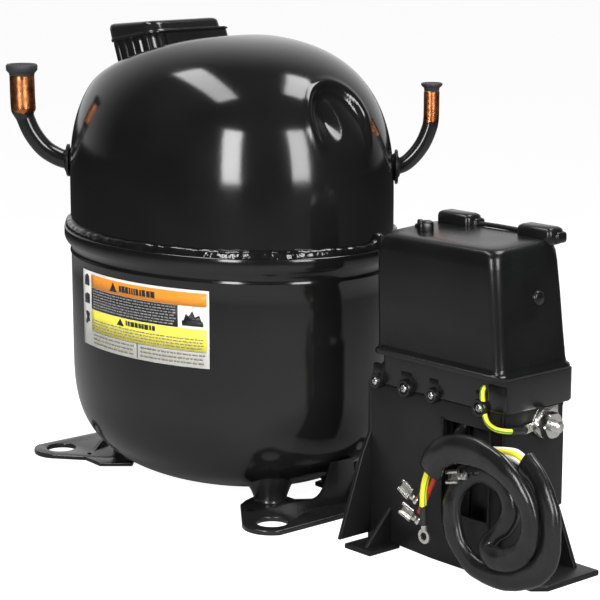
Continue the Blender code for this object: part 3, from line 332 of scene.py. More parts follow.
def add_turned(bm, profile, steps, place):
    """Turns a profile of (radius, height) about the frame's Z and closes both its ends."""
    add_grid(bm, [ring(radius, z, steps, place) for radius, z in profile], True, (True, True))


def add_box(bm, low, high, bevel=0.0, segments=2, index=0, turn=None):
    before = set(bm.verts)
    made = bmesh.ops.create_cube(bm, size=1.0)["verts"]
    low, high = Vector(low), Vector(high)
    bmesh.ops.scale(bm, vec=high - low, verts=made)
    bmesh.ops.translate(bm, vec=(low + high) / 2, verts=made)
    if bevel:
        edges = {edge for vert in made for edge in vert.link_edges}
        bmesh.ops.bevel(bm, geom=list(edges), offset=bevel, segments=segments, affect="EDGES", profile=0.5)
    fresh = [vert for vert in bm.verts if vert not in before]
    if turn is not None:
        bmesh.ops.transform(bm, matrix=turn, verts=fresh)
    for face in {face for vert in fresh for face in vert.link_faces}:
        face.material_index = index


def add_boxes(bm, *boxes):
    for low, high, bevel in boxes:
        add_box(bm, low, high, bevel)


def turned(place, axis, degrees_round):
    """A frame at a place, turned about one axis."""
    return Matrix.Translation(place) @ Matrix.Rotation(radians(degrees_round), 4, axis)


def smooth_path(points, spacing):
    """Evenly spaced points on a smooth curve through the given ones."""
    points = [Vector(point) for point in points]
    ends = [2 * points[0] - points[1], *points, 2 * points[-1] - points[-2]]
    fine = []
    for before, start, end, after in zip(ends, ends[1:], ends[2:], ends[3:]):
        for step in range(16):
            t = step / 16
            fine.append(0.5 * (2 * start + (end - before) * t + (2 * before - 5 * start + 4 * end - after) * t ** 2
                + (3 * start - before - 3 * end + after) * t ** 3))
    fine.append(points[-1])
    length = sum((b - a).length for a, b in zip(fine, fine[1:]))
    count = max(2, round(length / spacing))
    even, travelled, target = [fine[0]], 0.0, length / count
    for first, second in zip(fine, fine[1:]):
        leg = (second - first).length
        while leg and travelled + leg >= target - 1e-9 and len(even) < count:
            even.append(first.lerp(second, (target - travelled) / leg))
            target += length / count
        travelled += leg
    return [*even, fine[-1]]


def next_across(path, i, across):
    """The direction of travel at a point of the path, and a direction across it that does not twist."""
    ahead = (path[min(i + 1, len(path) - 1)] - path[max(i - 1, 0)]).normalized()
    if across is None:
        across = Vector((0, 0, 1)) if abs(ahead.z) < 0.9 else Vector((1, 0, 0))
    return ahead, (across - ahead * across.dot(ahead)).normalized()


def add_sweep(bm, path, section, sides=16, side_axis=None, caps=(True, True), index=0, relief=None):
    """A tube along a path. The section is a radius, or gives the half sizes across and along side_axis."""
    rows = []
    across = None
    for i, point in enumerate(path):
        ahead, across = next_across(path, i, side_axis or across)
        first = ahead.cross(across)
        half_first, half_second = section(i / (len(path) - 1)) if callable(section) else (section, section)
        row = []
        for side in range(sides):
            angle = 2 * pi * side / sides
            spot = point + first * half_first * cos(angle) + across * half_second * sin(angle)
            if relief:
                spot += (spot - point).normalized() * relief(spot)
            row.append(spot)
        rows.append(row)
    add_grid(bm, rows, True, caps, index)


def rounded_outline(low, high, radii, steps=6):
    """Outline of a rectangle in two axes whose corners have their own radii."""
    (x0, y0), (x1, y1) = low, high
    spots = ((x1, y1, 0, -1, -1), (x0, y1, 90, 1, -1), (x0, y0, 180, 1, 1), (x1, y0, 270, -1, 1))
    points = []
    for (x, y, start, sx, sy), radius in zip(spots, radii):
        for step in range(steps + 1):
            angle = radians(start + 90 * step / steps)
            points.append((x + sx * radius + radius * cos(angle), y + sy * radius + radius * sin(angle)))
    return points


def plate(outline, low, high, name, bevel=0.0006, holes=(), turn=None):
    """An outline in X and Y with thickness, rounded at its edges."""
    curve = bpy.data.curves.new(name, "CURVE")
    curve.dimensions = "2D"
    curve.fill_mode = "BOTH"
    curve.extrude = (high - low) / 2 - bevel
    curve.bevel_depth = bevel
    curve.bevel_resolution = 2
    curve.offset = -bevel
    for loop in (outline, *holes):
        spline = curve.splines.new("POLY")
        spline.points.add(len(loop) - 1)
        for point, (x, y) in zip(spline.points, loop):
            point.co = (x, y, 0.0, 1.0)
        spline.use_cyclic_u = True
    item = link(curve, name)
    data = bpy.data.meshes.new_from_object(item.evaluated_get(bpy.context.evaluated_depsgraph_get()))
    bpy.data.objects.remove(item, do_unlink=True)
    data.transform(Matrix.Translation((0, 0, (low + high) / 2)))
    if turn is not None:
        data.transform(turn)
    bm = bmesh.new()
    bm.from_mesh(data)
    merge(bm, 1e-6)
    return bm


def circle(x, y, radius, steps=40):
    return [(x + radius * cos(2 * pi * i / steps), y + radius * sin(2 * pi * i / steps)) for i in range(steps)]


def dress(item, body, slot, *finishes, replaced=()):
    """Moves the piece to the shell's axis, gives it its materials and its place in the model."""
    item.data.transform(Matrix.Translation(AXIS))
    for finish_name in finishes:
        item.data.materials.append(MATERIALS[finish_name] if isinstance(finish_name, str) else finish_name)
    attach(item, body)
    if replaced:
        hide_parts(*replaced)
    return item


def add_piece(bm, name, sharp, body, slot, *finishes, node=None):
    """Makes a mesh piece of a bmesh; it stands for a node of the model where one is named."""
    return dress(from_bmesh(bm, name, sharp), body, slot, *finishes, replaced=(node,) if node else ())


def smoothstep(low, high, value):
    share = min(1.0, max(0.0, (value - low) / (high - low)))
    return share * share * (3 - 2 * share)


# ---------------------------------------------------------------- the shell
def facet_height(x):
    return FACET_Z + tan(FACET_TILT) * (x - FACET_X)


def soft_lower(a, b, width):
    """The lower of two heights, with the corner between them rounded off."""
    share = max(width - abs(a - b), 0.0) / width
    return min(a, b) - share * share * width / 4


def dome_point(angle, lift):
    """A point of the dome: lift runs from 0 at the skirt's top to a quarter turn at the crown."""
    share = max(0.0, cos(lift)) ** (2 / DOME_POWER)
    z = DOME_BASE_Z + (DOME_TOP_Z - DOME_BASE_Z) * max(0.0, sin(lift)) ** (2 / DOME_POWER)
    spot = Vector((SHELL_A * share * cos(angle), SHELL_B * share * sin(angle), z))
    spot.z = soft_lower(spot.z, facet_height(spot.x), 0.01)
    return press_pocket(spot)


POCKET = Vector((0.0, -0.0005, 0.2255))
POCKET_WIDTH = 0.0205
POCKET_RISE = 0.021
POCKET_DEPTH = 0.005


def press_pocket(spot):
    """The round recess pressed into the shoulder at the box's end of the dome."""
    if spot.x < 0.05:
        return spot
    across = (spot.y - POCKET.y) / POCKET_WIDTH
    rise = (spot.z - POCKET.z) / (POCKET_RISE if spot.z > POCKET.z else POCKET_RISE * 1.6)
    reach = hypot(across, rise)
    edge = 1 - smoothstep(0.78, 1.0, reach)
    fade = smoothstep(POCKET.z - 0.024, POCKET.z + 0.012, spot.z)
    depth = POCKET_DEPTH * edge * fade
    rim = 0.0006 * exp(-((reach - 1.06) / 0.07) ** 2) * fade
    dent = hypot((spot.y - POCKET.y + 0.008) / 0.0085, (spot.z - POCKET.z - 0.004) / 0.015)
    depth += 0.003 * max(0.0, 1 - dent)
    return spot + Vector((-0.8, 0.0, -0.6)) * (depth - rim)


def oval(grow, z, angles):
    """A level ring of the shell's plan, standing off the wall by a given amount."""
    return [Vector(((SHELL_A + grow) * cos(a), (SHELL_B + grow) * sin(a), z)) for a in angles]


def close_over(bm, loop, top):
    """Closes a loop with triangles to one point."""
    last = bm.verts.new(top)
    for i, vert in enumerate(loop):
        bm.faces.new((vert, loop[(i + 1) % len(loop)], last))


def upper_shell():
    bm = bmesh.new()
    angles = [radians(-26 + 1.0 * i) for i in range(53)]  # finer round the pocket
    angles += [radians(26 + 308 * (i + 1) / 92) for i in range(91)]
    rows = [oval(0.0, z, angles) for z in (0.147, 0.154, 0.161, 0.168)]
    steps = 84
    rows += [[dome_point(a, pi / 2 * step / steps) for a in angles] for step in range(steps)]
    close_over(bm, add_grid(bm, rows)[-1], dome_point(0.0, pi / 2))
    item = from_bmesh(bm, "upper_shell_skin", 60)
    thicken(item, WALL)
    dress(item, "shell", "black_paint", "paint", replaced=("upper_shell",))


def thicken(item, amount, even=True):
    wall = item.modifiers.new("wall", "SOLIDIFY")
    wall.thickness = amount
    wall.offset = -1.0
    wall.use_even_offset = even
    bake(item)


def bake(item):
    data = bpy.data.meshes.new_from_object(item.evaluated_get(bpy.context.evaluated_depsgraph_get()))
    item.modifiers.clear()
    item.data = data


def lower_shell():
    bm = bmesh.new()
    angles = [2 * pi * i / 160 for i in range(160)]
    flare = ((FLARE, SEAM_Z), (FLARE + 0.0003, SEAM_Z - 0.001), (FLARE + 0.0003, FLARE_Z + 0.0065),
        (FLARE - 0.0002, FLARE_Z + 0.0048), (FLARE * 0.72, FLARE_Z + 0.0032), (FLARE * 0.3, FLARE_Z + 0.0015),
        (0.0005, FLARE_Z), (0.0, FLARE_Z - 0.0012), (0.0006, FLARE_Z - 0.0026), (0.0007, FLARE_Z - 0.0036),
        (0.0, FLARE_Z - 0.005), (0.0, 0.125), (0.0, 0.112), (0.0, 0.099), (0.0, 0.087))
    rows = [oval(proud, z, angles) for proud, z in flare]
    steps = 56
    for step in range(steps):
        turn = pi / 2 * step / steps
        share = cos(turn) ** (2 / CUP_POWER)
        z = CUP_TOP_Z - (CUP_TOP_Z - CUP_BOTTOM_Z) * sin(turn) ** (2 / CUP_POWER)
        rows.append([Vector((SHELL_A * share * cos(a), SHELL_B * share * sin(a), z)) for a in angles])
    close_over(bm, add_grid(bm, rows)[-1], (0.0, 0.0, CUP_BOTTOM_Z))
    item = from_bmesh(bm, "lower_shell_skin", 60)
    thicken(item, WALL)
    dress(item, "shell", "black_paint", "paint", replaced=("lower_shell",))


def weld_bead():
    """An uneven bead in the corner over the flare, with a lump where the arc was struck."""
    bm = bmesh.new()
    columns, around_section = 520, 9
    rows = []
    for column in range(columns):
        angle = 2 * pi * column / columns
        ripple = 0.5 + 0.5 * sin(column * 0.83 + 2 * noise.noise(Vector((column * 0.11, 3.0, 0.0))))
        wander = noise.noise(Vector((cos(angle) * 7, sin(angle) * 7, 1.0)))
        lump = exp(-((degrees(angle) - 203) / 4.0) ** 2) + exp(-((degrees(angle) - 14) / 2.5) ** 2)
        reach = 0.0032 + 0.0004 * wander + 0.0002 * ripple + 0.001 * lump
        height = 0.004 + 0.0009 * wander + 0.0003 * ripple + 0.005 * lump
        row = []
        for step in range(around_section):
            turn = pi / 2 * step / (around_section - 1)
            out = reach * cos(turn) ** 0.8
            up = height * sin(turn) ** 0.9
            rough = 0.00025 * noise.noise(Vector((cos(angle) * 90, sin(angle) * 90, step * 0.9)))
            radius_x, radius_y = SHELL_A + 0.0001 + out + rough, SHELL_B + 0.0001 + out + rough
            row.append(Vector((radius_x * cos(angle), radius_y * sin(angle), SEAM_Z + 0.0001 + up)))
        row.append(Vector(((SHELL_A - 0.0005) * cos(angle), (SHELL_B - 0.0005) * sin(angle), SEAM_Z + height)))
        row.append(Vector(((SHELL_A - 0.0005) * cos(angle), (SHELL_B - 0.0005) * sin(angle), SEAM_Z)))
        rows.append(row)
    rows.append(rows[0])
    add_grid(bm, rows, True)
    merge(bm)
    add_piece(bm, "weld_seam", 70, "shell", "black_paint", "weld", node="weld_bead")


# ---------------------------------------------------------------- rating label
def flat_colour(name, colour, roughness=0.38):
    return surface(name, colour, roughness, 0, [min(1.0, c * 0.93) for c in colour], 300, 0.05, 0.2, 900, 0.00002)


LABEL_START = radians(-109.5)
LABEL_SPAN = radians(56)
LABEL_LOW = 0.0872
LABEL_HIGH = 0.1322


def label():
    """A printed film: plain colour panels, bars for print and simple warning shapes."""
    bm = bmesh.new()

    def spot(u, v, lift):
        angle = LABEL_START + LABEL_SPAN * u
        z = LABEL_LOW + (LABEL_HIGH - LABEL_LOW) * v
        return Vector(((SHELL_A + lift) * cos(angle), (SHELL_B + lift) * sin(angle), z))

    def panel(u0, u1, v0, v1, index, lift=0.0009):
        columns = max(1, round((u1 - u0) * 28))
        for i in range(columns):
            a, b = u0 + (u1 - u0) * i / columns, u0 + (u1 - u0) * (i + 1) / columns
            quad = [bm.verts.new(spot(u, v, lift)) for u, v in ((a, v0), (b, v0), (b, v1), (a, v1))]
            bm.faces.new(quad).material_index = index

    def print_rows(u0, u1, v0, v1, rows, index, size):
        """Short bars in rows, which stand for print without being letters."""
        pitch = (v1 - v0) / rows
        for row in range(rows):
            u = u0 + 0.004
            low = v0 + pitch * (row + 0.5 - size / 2)
            while u < u1 - 0.012:
                length = random.uniform(0.01, 0.034)
                panel(u, min(u + length, u1), low, low + pitch * size, index, 0.001)
                u += length + random.uniform(0.004, 0.008)

    white, orange, yellow, ink, pale, grey = range(6)
    panel(0.0, 1.0, 0.0, 1.0, white, 0.0007)
    for spec in ((0.115, 0.985, 0.79, 0.965, orange), (0.115, 0.808, 0.505, 0.785, ink),
            (0.115, 0.985, 0.215, 0.5, yellow), (0.528, 0.532, 0.02, 0.205, ink, 0.001),
            (0.115, 0.985, 0.205, 0.209, ink, 0.001), (0.835, 0.965, 0.535, 0.6, ink, 0.001)):
        panel(*spec)
    for spec in ((0.39, 0.66, 0.825, 0.93, 1, ink, 0.8), (0.13, 0.795, 0.52, 0.775, 7, pale, 0.42),
            (0.44, 0.66, 0.405, 0.485, 1, ink, 0.8), (0.13, 0.965, 0.23, 0.385, 4, grey, 0.4),
            (0.13, 0.51, 0.03, 0.19, 3, grey, 0.4), (0.55, 0.975, 0.03, 0.19, 3, grey, 0.4)):
        print_rows(*spec)
    for points in (((0.31, 0.82), (0.375, 0.82), (0.342, 0.94)), ((0.37, 0.395), (0.43, 0.395), (0.4, 0.49)),
            ((0.845, 0.6), (0.955, 0.6), (0.94, 0.68), (0.915, 0.65), (0.9, 0.73), (0.875, 0.655), (0.86, 0.69)),
            ((0.03, 0.8), (0.09, 0.8), (0.085, 0.93), (0.06, 0.955), (0.035, 0.92)),
            ((0.03, 0.56), (0.09, 0.56), (0.09, 0.68), (0.06, 0.7), (0.03, 0.67)),
            ((0.035, 0.3), (0.055, 0.28), (0.088, 0.42), (0.068, 0.45)),
            ((0.035, 0.43), (0.055, 0.46), (0.088, 0.33), (0.07, 0.31))):
        bm.faces.new([bm.verts.new(spot(u, v, 0.001)) for u, v in points]).material_index = ink
    merge(bm)
    bm.normal_update()
    for face in bm.faces:
        middle = face.calc_center_median()
        if face.normal.x * middle.x + face.normal.y * middle.y < 0:
            face.normal_flip()
    item = from_bmesh(bm, "rating_label", 40, False)
    thicken(item, 0.0002, False)
    materials = (flat_colour("label_white", (0.86, 0.85, 0.81)), flat_colour("label_orange", (0.92, 0.32, 0.03)),
        flat_colour("label_yellow", (0.88, 0.8, 0.1)), flat_colour("label_ink", (0.018, 0.018, 0.02)),
        flat_colour("label_pale_print", (0.3, 0.3, 0.29)), flat_colour("label_grey_print", (0.26, 0.24, 0.17)))
    dress(item, "shell", "label_film", *materials, replaced=("label",))


# ---------------------------------------------------------------- base rails
HOLE_X, HOLE_Y, HOLE_RADIUS, EAR_RADIUS = 0.104, 0.055, 0.0092, 0.0172
RAIL_SHEET = 0.003


def cup_height(x, y):
    """Height of the lower shell's outside over a point of the plan."""
    share = min(1.0, hypot(x / SHELL_A, y / SHELL_B))
    return CUP_TOP_Z - (CUP_TOP_Z - CUP_BOTTOM_Z) * (1 - share ** CUP_POWER) ** (1 / CUP_POWER)


def arc(x, y, radius, start, end, steps):
    return [(x + radius * cos(radians(start + (end - start) * i / steps)),
        y + radius * sin(radians(start + (end - start) * i / steps))) for i in range(steps + 1)]


def rail(side, name, node):
    """A pressed rail: ears round the holes, a waisted middle, an upright web and two bosses."""
    front = arc(HOLE_X, -HOLE_Y, EAR_RADIUS, 225, 335, 14)
    back = arc(HOLE_X, HOLE_Y, EAR_RADIUS, 25, 135, 14)
    inner = [(0.066, 0.047), (0.062, 0.04), (0.058, 0.028), (0.06, 0.0165), (0.079, 0.016),
        (0.085, 0.008), (0.0868, 0.0), (0.085, -0.008), (0.079, -0.016), (0.06, -0.0165),
        (0.058, -0.028), (0.062, -0.04), (0.066, -0.047)]
    holes = (circle(HOLE_X, HOLE_Y, HOLE_RADIUS), circle(HOLE_X, -HOLE_Y, HOLE_RADIUS))
    bm = plate([*front, *back, *inner], 0.0, RAIL_SHEET, name, 0.0007, holes)
    tab = plate([(0.059, 0.0575), (0.0455, 0.042), (0.059, 0.029), (0.085, 0.031), (0.078, 0.056)],
        0.0004, RAIL_SHEET - 0.0003, "tab", 0.0006)
    copy_into(bm, tab)
    web_rows = []
    for step in range(61):
        y = -0.052 + 0.104 * step / 60
        x = 0.104 - 0.024 * (abs(y) / 0.052) ** 1.6
        rise = 0.003 + 0.004 * (1 - smoothstep(0.028, 0.047, abs(y))) + 0.049 * exp(-(abs(y) / 0.0085) ** 2)
        top = min(rise, cup_height(x - 0.003, y) + 0.0012)
        low = 0.0012
        web_rows.append([Vector((x, y, low)), Vector((x, y, top)), Vector((x - RAIL_SHEET, y, top)),
            Vector((x - RAIL_SHEET, y, low))])
    add_grid(bm, web_rows, True, (True, True))
    for y in (0.027, -0.027):
        boss(bm, 0.0695, y)
    item = from_bmesh(bm, name, 45)
    if side < 0:
        item.data.transform(Matrix.Rotation(pi, 4, "Z"))
    dress(item, "shell", "black_paint", "rail", replaced=(node,))


def boss(bm, x, y):
    """A drawn boss that widens upwards to meet the shell."""
    rows = []
    for z_share in range(9):
        row = []
        for step in range(32):
            angle = 2 * pi * step / 32
            share = z_share / 8
            radius = 0.0092 + 0.0042 * share ** 1.6 + 0.0022 * max(0.0, 0.25 - share) ** 2 * 16
            px, py = x + radius * cos(angle), y + radius * sin(angle)
            top = cup_height(px, py) + 0.0008
            row.append(Vector((px, py, 0.0012 + (top - 0.0012) * share)))
        rows.append(row)
    add_grid(bm, rows, True, (True, True))


def copy_into(bm, other):
    """Adds another bmesh's geometry and frees it."""
    spots = {vert: bm.verts.new(vert.co) for vert in other.verts}
    for face in other.faces:
        bm.faces.new([spots[vert] for vert in face.verts]).material_index = face.material_index
    other.free()


# ---------------------------------------------------------------- stub tubes
TUBE_ANGLE = radians(48.9)
SUCTION_ROUTE = ((0.09, 0.1895), (0.099, 0.19), (0.1065, 0.1925), (0.114, 0.1975),
    (0.1203, 0.2055), (0.1243, 0.214), (0.1262, 0.222), (0.1266, 0.2418))
DISCHARGE_ROUTE = ((0.09, 0.1923), (0.099, 0.193), (0.105, 0.1953), (0.1105, 0.2005),
    (0.115, 0.207), (0.118, 0.214), (0.1196, 0.221), (0.1198, 0.2374))
PROCESS_ROUTE = ((0.082, 0.193), (0.096, 0.193), (0.103, 0.195), (0.1085, 0.2),
    (0.111, 0.207), (0.1115, 0.214), (0.1115, 0.233))
STUBS = {"suction": (TUBE_ANGLE + pi, SUCTION_ROUTE, 0.0056, 0.0076, 0.021),
    "discharge": (TUBE_ANGLE, DISCHARGE_ROUTE, 0.0046, 0.0046, 0.019),
    "process": (radians(128), PROCESS_ROUTE, 0.0034, 0.0034, 0.016),}


def tube_points(angle, route):
    reach = hypot(SHELL_A * cos(angle), SHELL_B * sin(angle))
    root = Vector((SHELL_A ** 2 * cos(angle), SHELL_B ** 2 * sin(angle), 0.0)) / reach
    normal = Vector((cos(angle), sin(angle), 0.0))
    base = root - normal * root.dot(normal)
    return [base + normal * distance + Vector((0, 0, z)) for distance, z in route]


def stub(kind):
    angle, route, radius, end_radius, end_length = STUBS[kind]
    stations = tube_points(angle, route)
    path = smooth_path(stations, 0.0014)
    top = stations[-1]
    bm = bmesh.new()

    def section(share):
        z = path[round(share * (len(path) - 1))].z
        grown = smoothstep(top.z - end_length - 0.0045, top.z - end_length + 0.0005, z) if share > 0.5 else 0.0
        size = radius + (end_radius - radius) * grown
        return size, size

    add_sweep(bm, path, section, 32, caps=(True, False))
    end = Matrix.Translation(top)
    rim = [(end_radius, 0.0), (end_radius - 0.0003, 0.0004), (end_radius - 0.0008, 0.0003),
        (end_radius - 0.0011, -0.0004), (end_radius - 0.0011, -0.011)]
    add_turned(bm, rim, 32, end)
    item = from_bmesh(bm, kind + "_stub", 50)
    dress(item, "shell", "copper", "copper", replaced=(kind + "_tube",))
    plug(kind, top, end_radius)


def plug(kind, top, size):
    """A rubber plug: a flanged head with a dished top, a neck, and the part inside the tube."""
    bm = bmesh.new()
    if kind == "suction":
        profile = [(0.0, 0.0045), (size * 0.8, 0.0045), (size * 0.9, 0.0062), (size * 1.0, 0.007),
            (size * 1.16, 0.0071), (size * 1.25, 0.0065), (size * 1.27, 0.0055), (size * 1.25, 0.0034),
            (size * 1.14, 0.0024), (size * 1.03, 0.0016), (size * 1.01, 0.0004)]
    else:
        profile = [(0.0, 0.003), (size * 0.85, 0.0032), (size * 1.05, 0.0046), (size * 1.22, 0.0051),
            (size * 1.36, 0.0047), (size * 1.38, 0.004), (size * 1.22, 0.003), (size * 1.0, 0.0022),
            (size * 0.95, 0.0004)]
    inside = size - 0.0014
    profile += [(inside, 0.0003), (inside * 0.98, -0.008), (inside * 0.8, -0.009), (0.0, -0.009)]
    profile = [(max(radius, 0.0002), z) for radius, z in profile]
    add_turned(bm, profile, 40, Matrix.Translation(top))
    add_piece(bm, kind + "_cap", 50, kind + "_plug", "plug_rubber", "rubber", node=kind + "_plug")


def collar(kind, disc_radius):
    """A thin steel disc with its weld where the stub enters the shell."""
    angle, route, radius, _, _ = STUBS[kind]
    stations = tube_points(angle, route)
    normal = Vector((cos(angle), sin(angle), 0.0))
    reach = hypot(SHELL_A * cos(angle), SHELL_B * sin(angle))
    near, far = route[0][0], route[1][0]
    centre = stations[0].lerp(stations[1], (reach + 0.0014 - near) / (far - near))
    turn = Matrix.Translation(centre) @ normal.to_track_quat("Z", "Y").to_matrix().to_4x4()
    bm = bmesh.new()
    add_turned(bm, [(radius * 0.9, 0.0022), (radius + 0.0007, 0.002), (radius + 0.0019, 0.0011),
        (disc_radius - 0.0008, 0.0009), (disc_radius, 0.0005), (disc_radius, -0.0007), (disc_radius - 0.002, -0.0011),
        (disc_radius - 0.0035, -0.0036), (radius * 0.9, -0.004)], 48, turn)
    add_piece(bm, kind + "_disc", 40, "shell", "black_paint", "rail", node=kind + "_collar")


# ---------------------------------------------------------------- terminal cover
TERMINAL_X = -0.0597
COVER_HALF_X = 0.022
COVER_HALF_Y = 0.03
COVER_RISE = 0.012
TERMINAL_Y = 0.0065
COVER_TOP = 0.019


def outer_height(x, y):
    """Height of the dome, or of its flat facet, over a point of the plan."""
    share = min(1.0, hypot(x / SHELL_A, y / SHELL_B))
    dome = DOME_BASE_Z + (DOME_TOP_Z - DOME_BASE_Z) * (1 - share ** DOME_POWER) ** (1 / DOME_POWER)
    return min(dome, facet_height(x))


def terminal_cover():
    """A moulded cap, fluted over its front end, with a raised lid that stops short of the back."""
    middle = Vector((TERMINAL_X, TERMINAL_Y, facet_height(TERMINAL_X)))
    place = Matrix.Translation(middle) @ Matrix.Rotation(-FACET_TILT, 4, "Y")
    radii = (0.005, 0.005, 0.006, 0.0085)
    bm = bmesh.new()

    def outline(inset, back_inset, fluted):
        low = (-COVER_HALF_X + inset, -COVER_HALF_Y + inset)
        high = (COVER_HALF_X - inset, COVER_HALF_Y - inset - back_inset)
        loop = [Vector((x, y, 0.0)) for x, y in densify(rounded_outline(low, high, [r - inset for r in radii], 12),
            0.0008)]
        loop = ring_to(300, loop)
        if fluted:
            for spot in loop:
                if spot.y < -COVER_HALF_Y + 0.009 and spot.x > -COVER_HALF_X + 0.004:
                    way = spot.x + max(0.0, spot.y + COVER_HALF_Y) * 1.2
                    groove = max(0.0, sin(way * 2 * pi / 0.0078)) ** 0.7
                    spot.y += 0.0015 * groove
                    spot.x -= 0.001 * groove * smoothstep(0.012, 0.022, spot.x)
        return loop

    def raised(spot, height):
        rise = COVER_RISE * max(0.0, height) / 0.019 * (COVER_HALF_X - spot.x) / (2 * COVER_HALF_X)
        return place @ Vector((spot.x, spot.y, height + rise))

    wall = outline(0.0, 0.0, True)
    feet = []
    for spot in wall:
        height = 0.0
        for _ in range(8):
            point = raised(spot, height)
            height += outer_height(point.x, point.y) - 0.0008 - point.z
        feet.append(height)
    rows = [[raised(spot, foot + (0.0112 - foot) * step / 5) for spot, foot in zip(wall, feet)] for step in range(6)]
    for inset, back_inset, height, fluted in (
            (0.0002, 0.0, 0.0118, True), (-0.0008, 0.0, 0.012, False), (-0.001, 0.0, 0.0124, False),
            (-0.0009, 0.0002, 0.013, False), (-0.0006, 0.0052, 0.0133, False), (-0.0004, 0.0055, 0.014, False),
            (-0.0002, 0.0055, 0.0172, False), (0.0003, 0.0058, 0.0183, False), (0.0014, 0.0062, 0.019, False),
            (0.0032, 0.007, 0.0193, False)):
        rows.append([raised(spot, height) for spot in outline(inset, back_inset, fluted)])
    loops = add_grid(bm, rows)
    bm.faces.new(loops[-1])
    item = from_bmesh(bm, "terminal_cap", 40)
    thicken(item, 0.0016)
    dress(item, "terminal_cover", "box_plastic", "cover", replaced=("terminal_cover",))


def densify(outline, spacing):
    """More points along an outline's straight runs."""
    dense = []
    for (x0, y0), (x1, y1) in zip(outline, outline[1:] + outline[:1]):
        pieces = max(1, round(hypot(x1 - x0, y1 - y0) / spacing))
        for i in range(pieces):
            dense.append((x0 + (x1 - x0) * i / pieces, y0 + (y1 - y0) * i / pieces))
    return dense


def ring_to(count, row):
    """The same loop with a set number of points, evenly spaced from its first point."""
    lengths = [(b - a).length for a, b in zip(row, row[1:] + row[:1])]
    total = sum(lengths)
    made, travelled, i = [], 0.0, 0
    for step in range(count):
        target = total * step / count
        while travelled + lengths[i] < target:
            travelled += lengths[i]
            i += 1
        made.append(row[i].lerp(row[(i + 1) % len(row)], (target - travelled) / lengths[i]))
    return made


# ---------------------------------------------------------------- electrical box
BOX_X, BOX_Y = (0.167, 0.259), (-0.035, 0.018)
BOX_TOP_Z, BOX_RIM_Z, BOX_FLOOR_Z = 0.1755, 0.1095, 0.0925
BRACKET_X = (0.1575, 0.256)
BRACKET_FRONT_Y, BRACKET_BACK_Y, BRACKET_SHEET, BRACKET_TOP_Z = -0.029, 0.018, 0.0026, 0.0905
CLIP_X, CLIP_HALF, CLIP_Y = (0.187, 0.2455), 0.012, 0.008
BAR_Z = BOX_TOP_Z + 0.003
SCREW_X, SCREW_Z = (0.1648, 0.1872, 0.2078, 0.2428), 0.0924
EARTH = Vector((0.256, -0.001, 0.082))
FEED_HOLE = (0.2237, -0.0215)


def box_cover():
    """A deep moulded cap that leans a little, with soft edges, a lip, clips, a hook and a pip."""
    bm = bmesh.new()
    (left, right), (front, back) = BOX_X, BOX_Y

    def ring(grow, z, radius):
        share = (z - BOX_RIM_Z) / (BOX_TOP_Z - BOX_RIM_Z)
        lean_x, lean_y = -0.0016 * share, -0.004 * share
        outline = rounded_outline((left - grow + lean_x, front - grow + lean_y),
            (right + grow + lean_x, back + grow + lean_y), (radius,) * 4, 8)
        return [Vector((x, y, z + swell(x, y, z))) for x, y in outline]

    def swell(x, y, z):
        if z < BOX_TOP_Z - 0.012:
            return 0.0
        rise = 0.0022 * smoothstep(front, back, y) + 0.0008 * smoothstep(left, right, x)
        return rise * smoothstep(BOX_TOP_Z - 0.012, BOX_TOP_Z, z)

    rows = [ring(*spec) for spec in (
        (-0.0012, 0.1093, 0.005), (0.0016, 0.1093, 0.0062), (0.002, 0.11, 0.0064), (0.0018, 0.1116, 0.0064),
        (0.0006, 0.1124, 0.0058), (0.0002, 0.115, 0.0058), (-0.0003, 0.13, 0.006), (-0.0008, 0.15, 0.0062),
        (-0.0014, 0.166, 0.0065), (-0.0018, 0.17, 0.0068), (-0.0026, 0.1729, 0.0072), (-0.004, 0.1747, 0.0078),
        (-0.0062, 0.1755, 0.0084), (-0.012, 0.1757, 0.008))]
    loops = add_grid(bm, rows)
    bm.faces.new(loops[-1])
    item = from_bmesh(bm, "box_cap", 50)
    thicken(item, 0.0018, False)
    bm = bmesh.new()
    bm.from_mesh(item.data)
    bpy.data.objects.remove(item, do_unlink=True)
    top = BOX_TOP_Z
    for x in CLIP_X:
        low, high = x - CLIP_HALF, x + CLIP_HALF
        add_boxes(bm, ((low, CLIP_Y - 0.0065, top - 0.001), (high, CLIP_Y + 0.0055, top + 0.0085), 0.0028),
            ((low - 0.0012, CLIP_Y - 0.002, top), (high + 0.0012, CLIP_Y + 0.0062, top + 0.006), 0.0016))
    hook = turned((left + 0.0165, front + 0.019, top + 0.003), "Z", -32)
    for low, high, bevel in (((-0.0095, -0.003, -0.004), (0.005, 0.003, -0.0002), 0.001),
            ((0.001, -0.0042, -0.004), (0.0075, 0.0042, 0.0034), 0.0018),
            ((-0.01, -0.0016, -0.003), (0.003, 0.0016, 0.002), 0.001)):
        add_box(bm, low, high, bevel, turn=hook)
    add_turned(bm, [(0.0002, 0.0014), (0.003, 0.0013), (0.0038, 0.0006), (0.004, -0.001)], 24,
        turned((right - 0.0012, -0.006, 0.149), "Y", 90))
    add_piece(bm, "box_cap", 50, "box_cover", "box_plastic", "box", node="box_cover")
    bm = bmesh.new()
    y = CLIP_Y + 0.002
    path = smooth_path([(CLIP_X[0] + 0.006, y, BAR_Z), (0.216, y, BAR_Z + 0.0004), (CLIP_X[1] - 0.006, y, BAR_Z)],
        0.003)
    add_sweep(bm, path, 0.0013, 14)
    add_piece(bm, "cover_bar", 50, "box_cover", "bracket_plastic", "bracket", node="clip_bar")


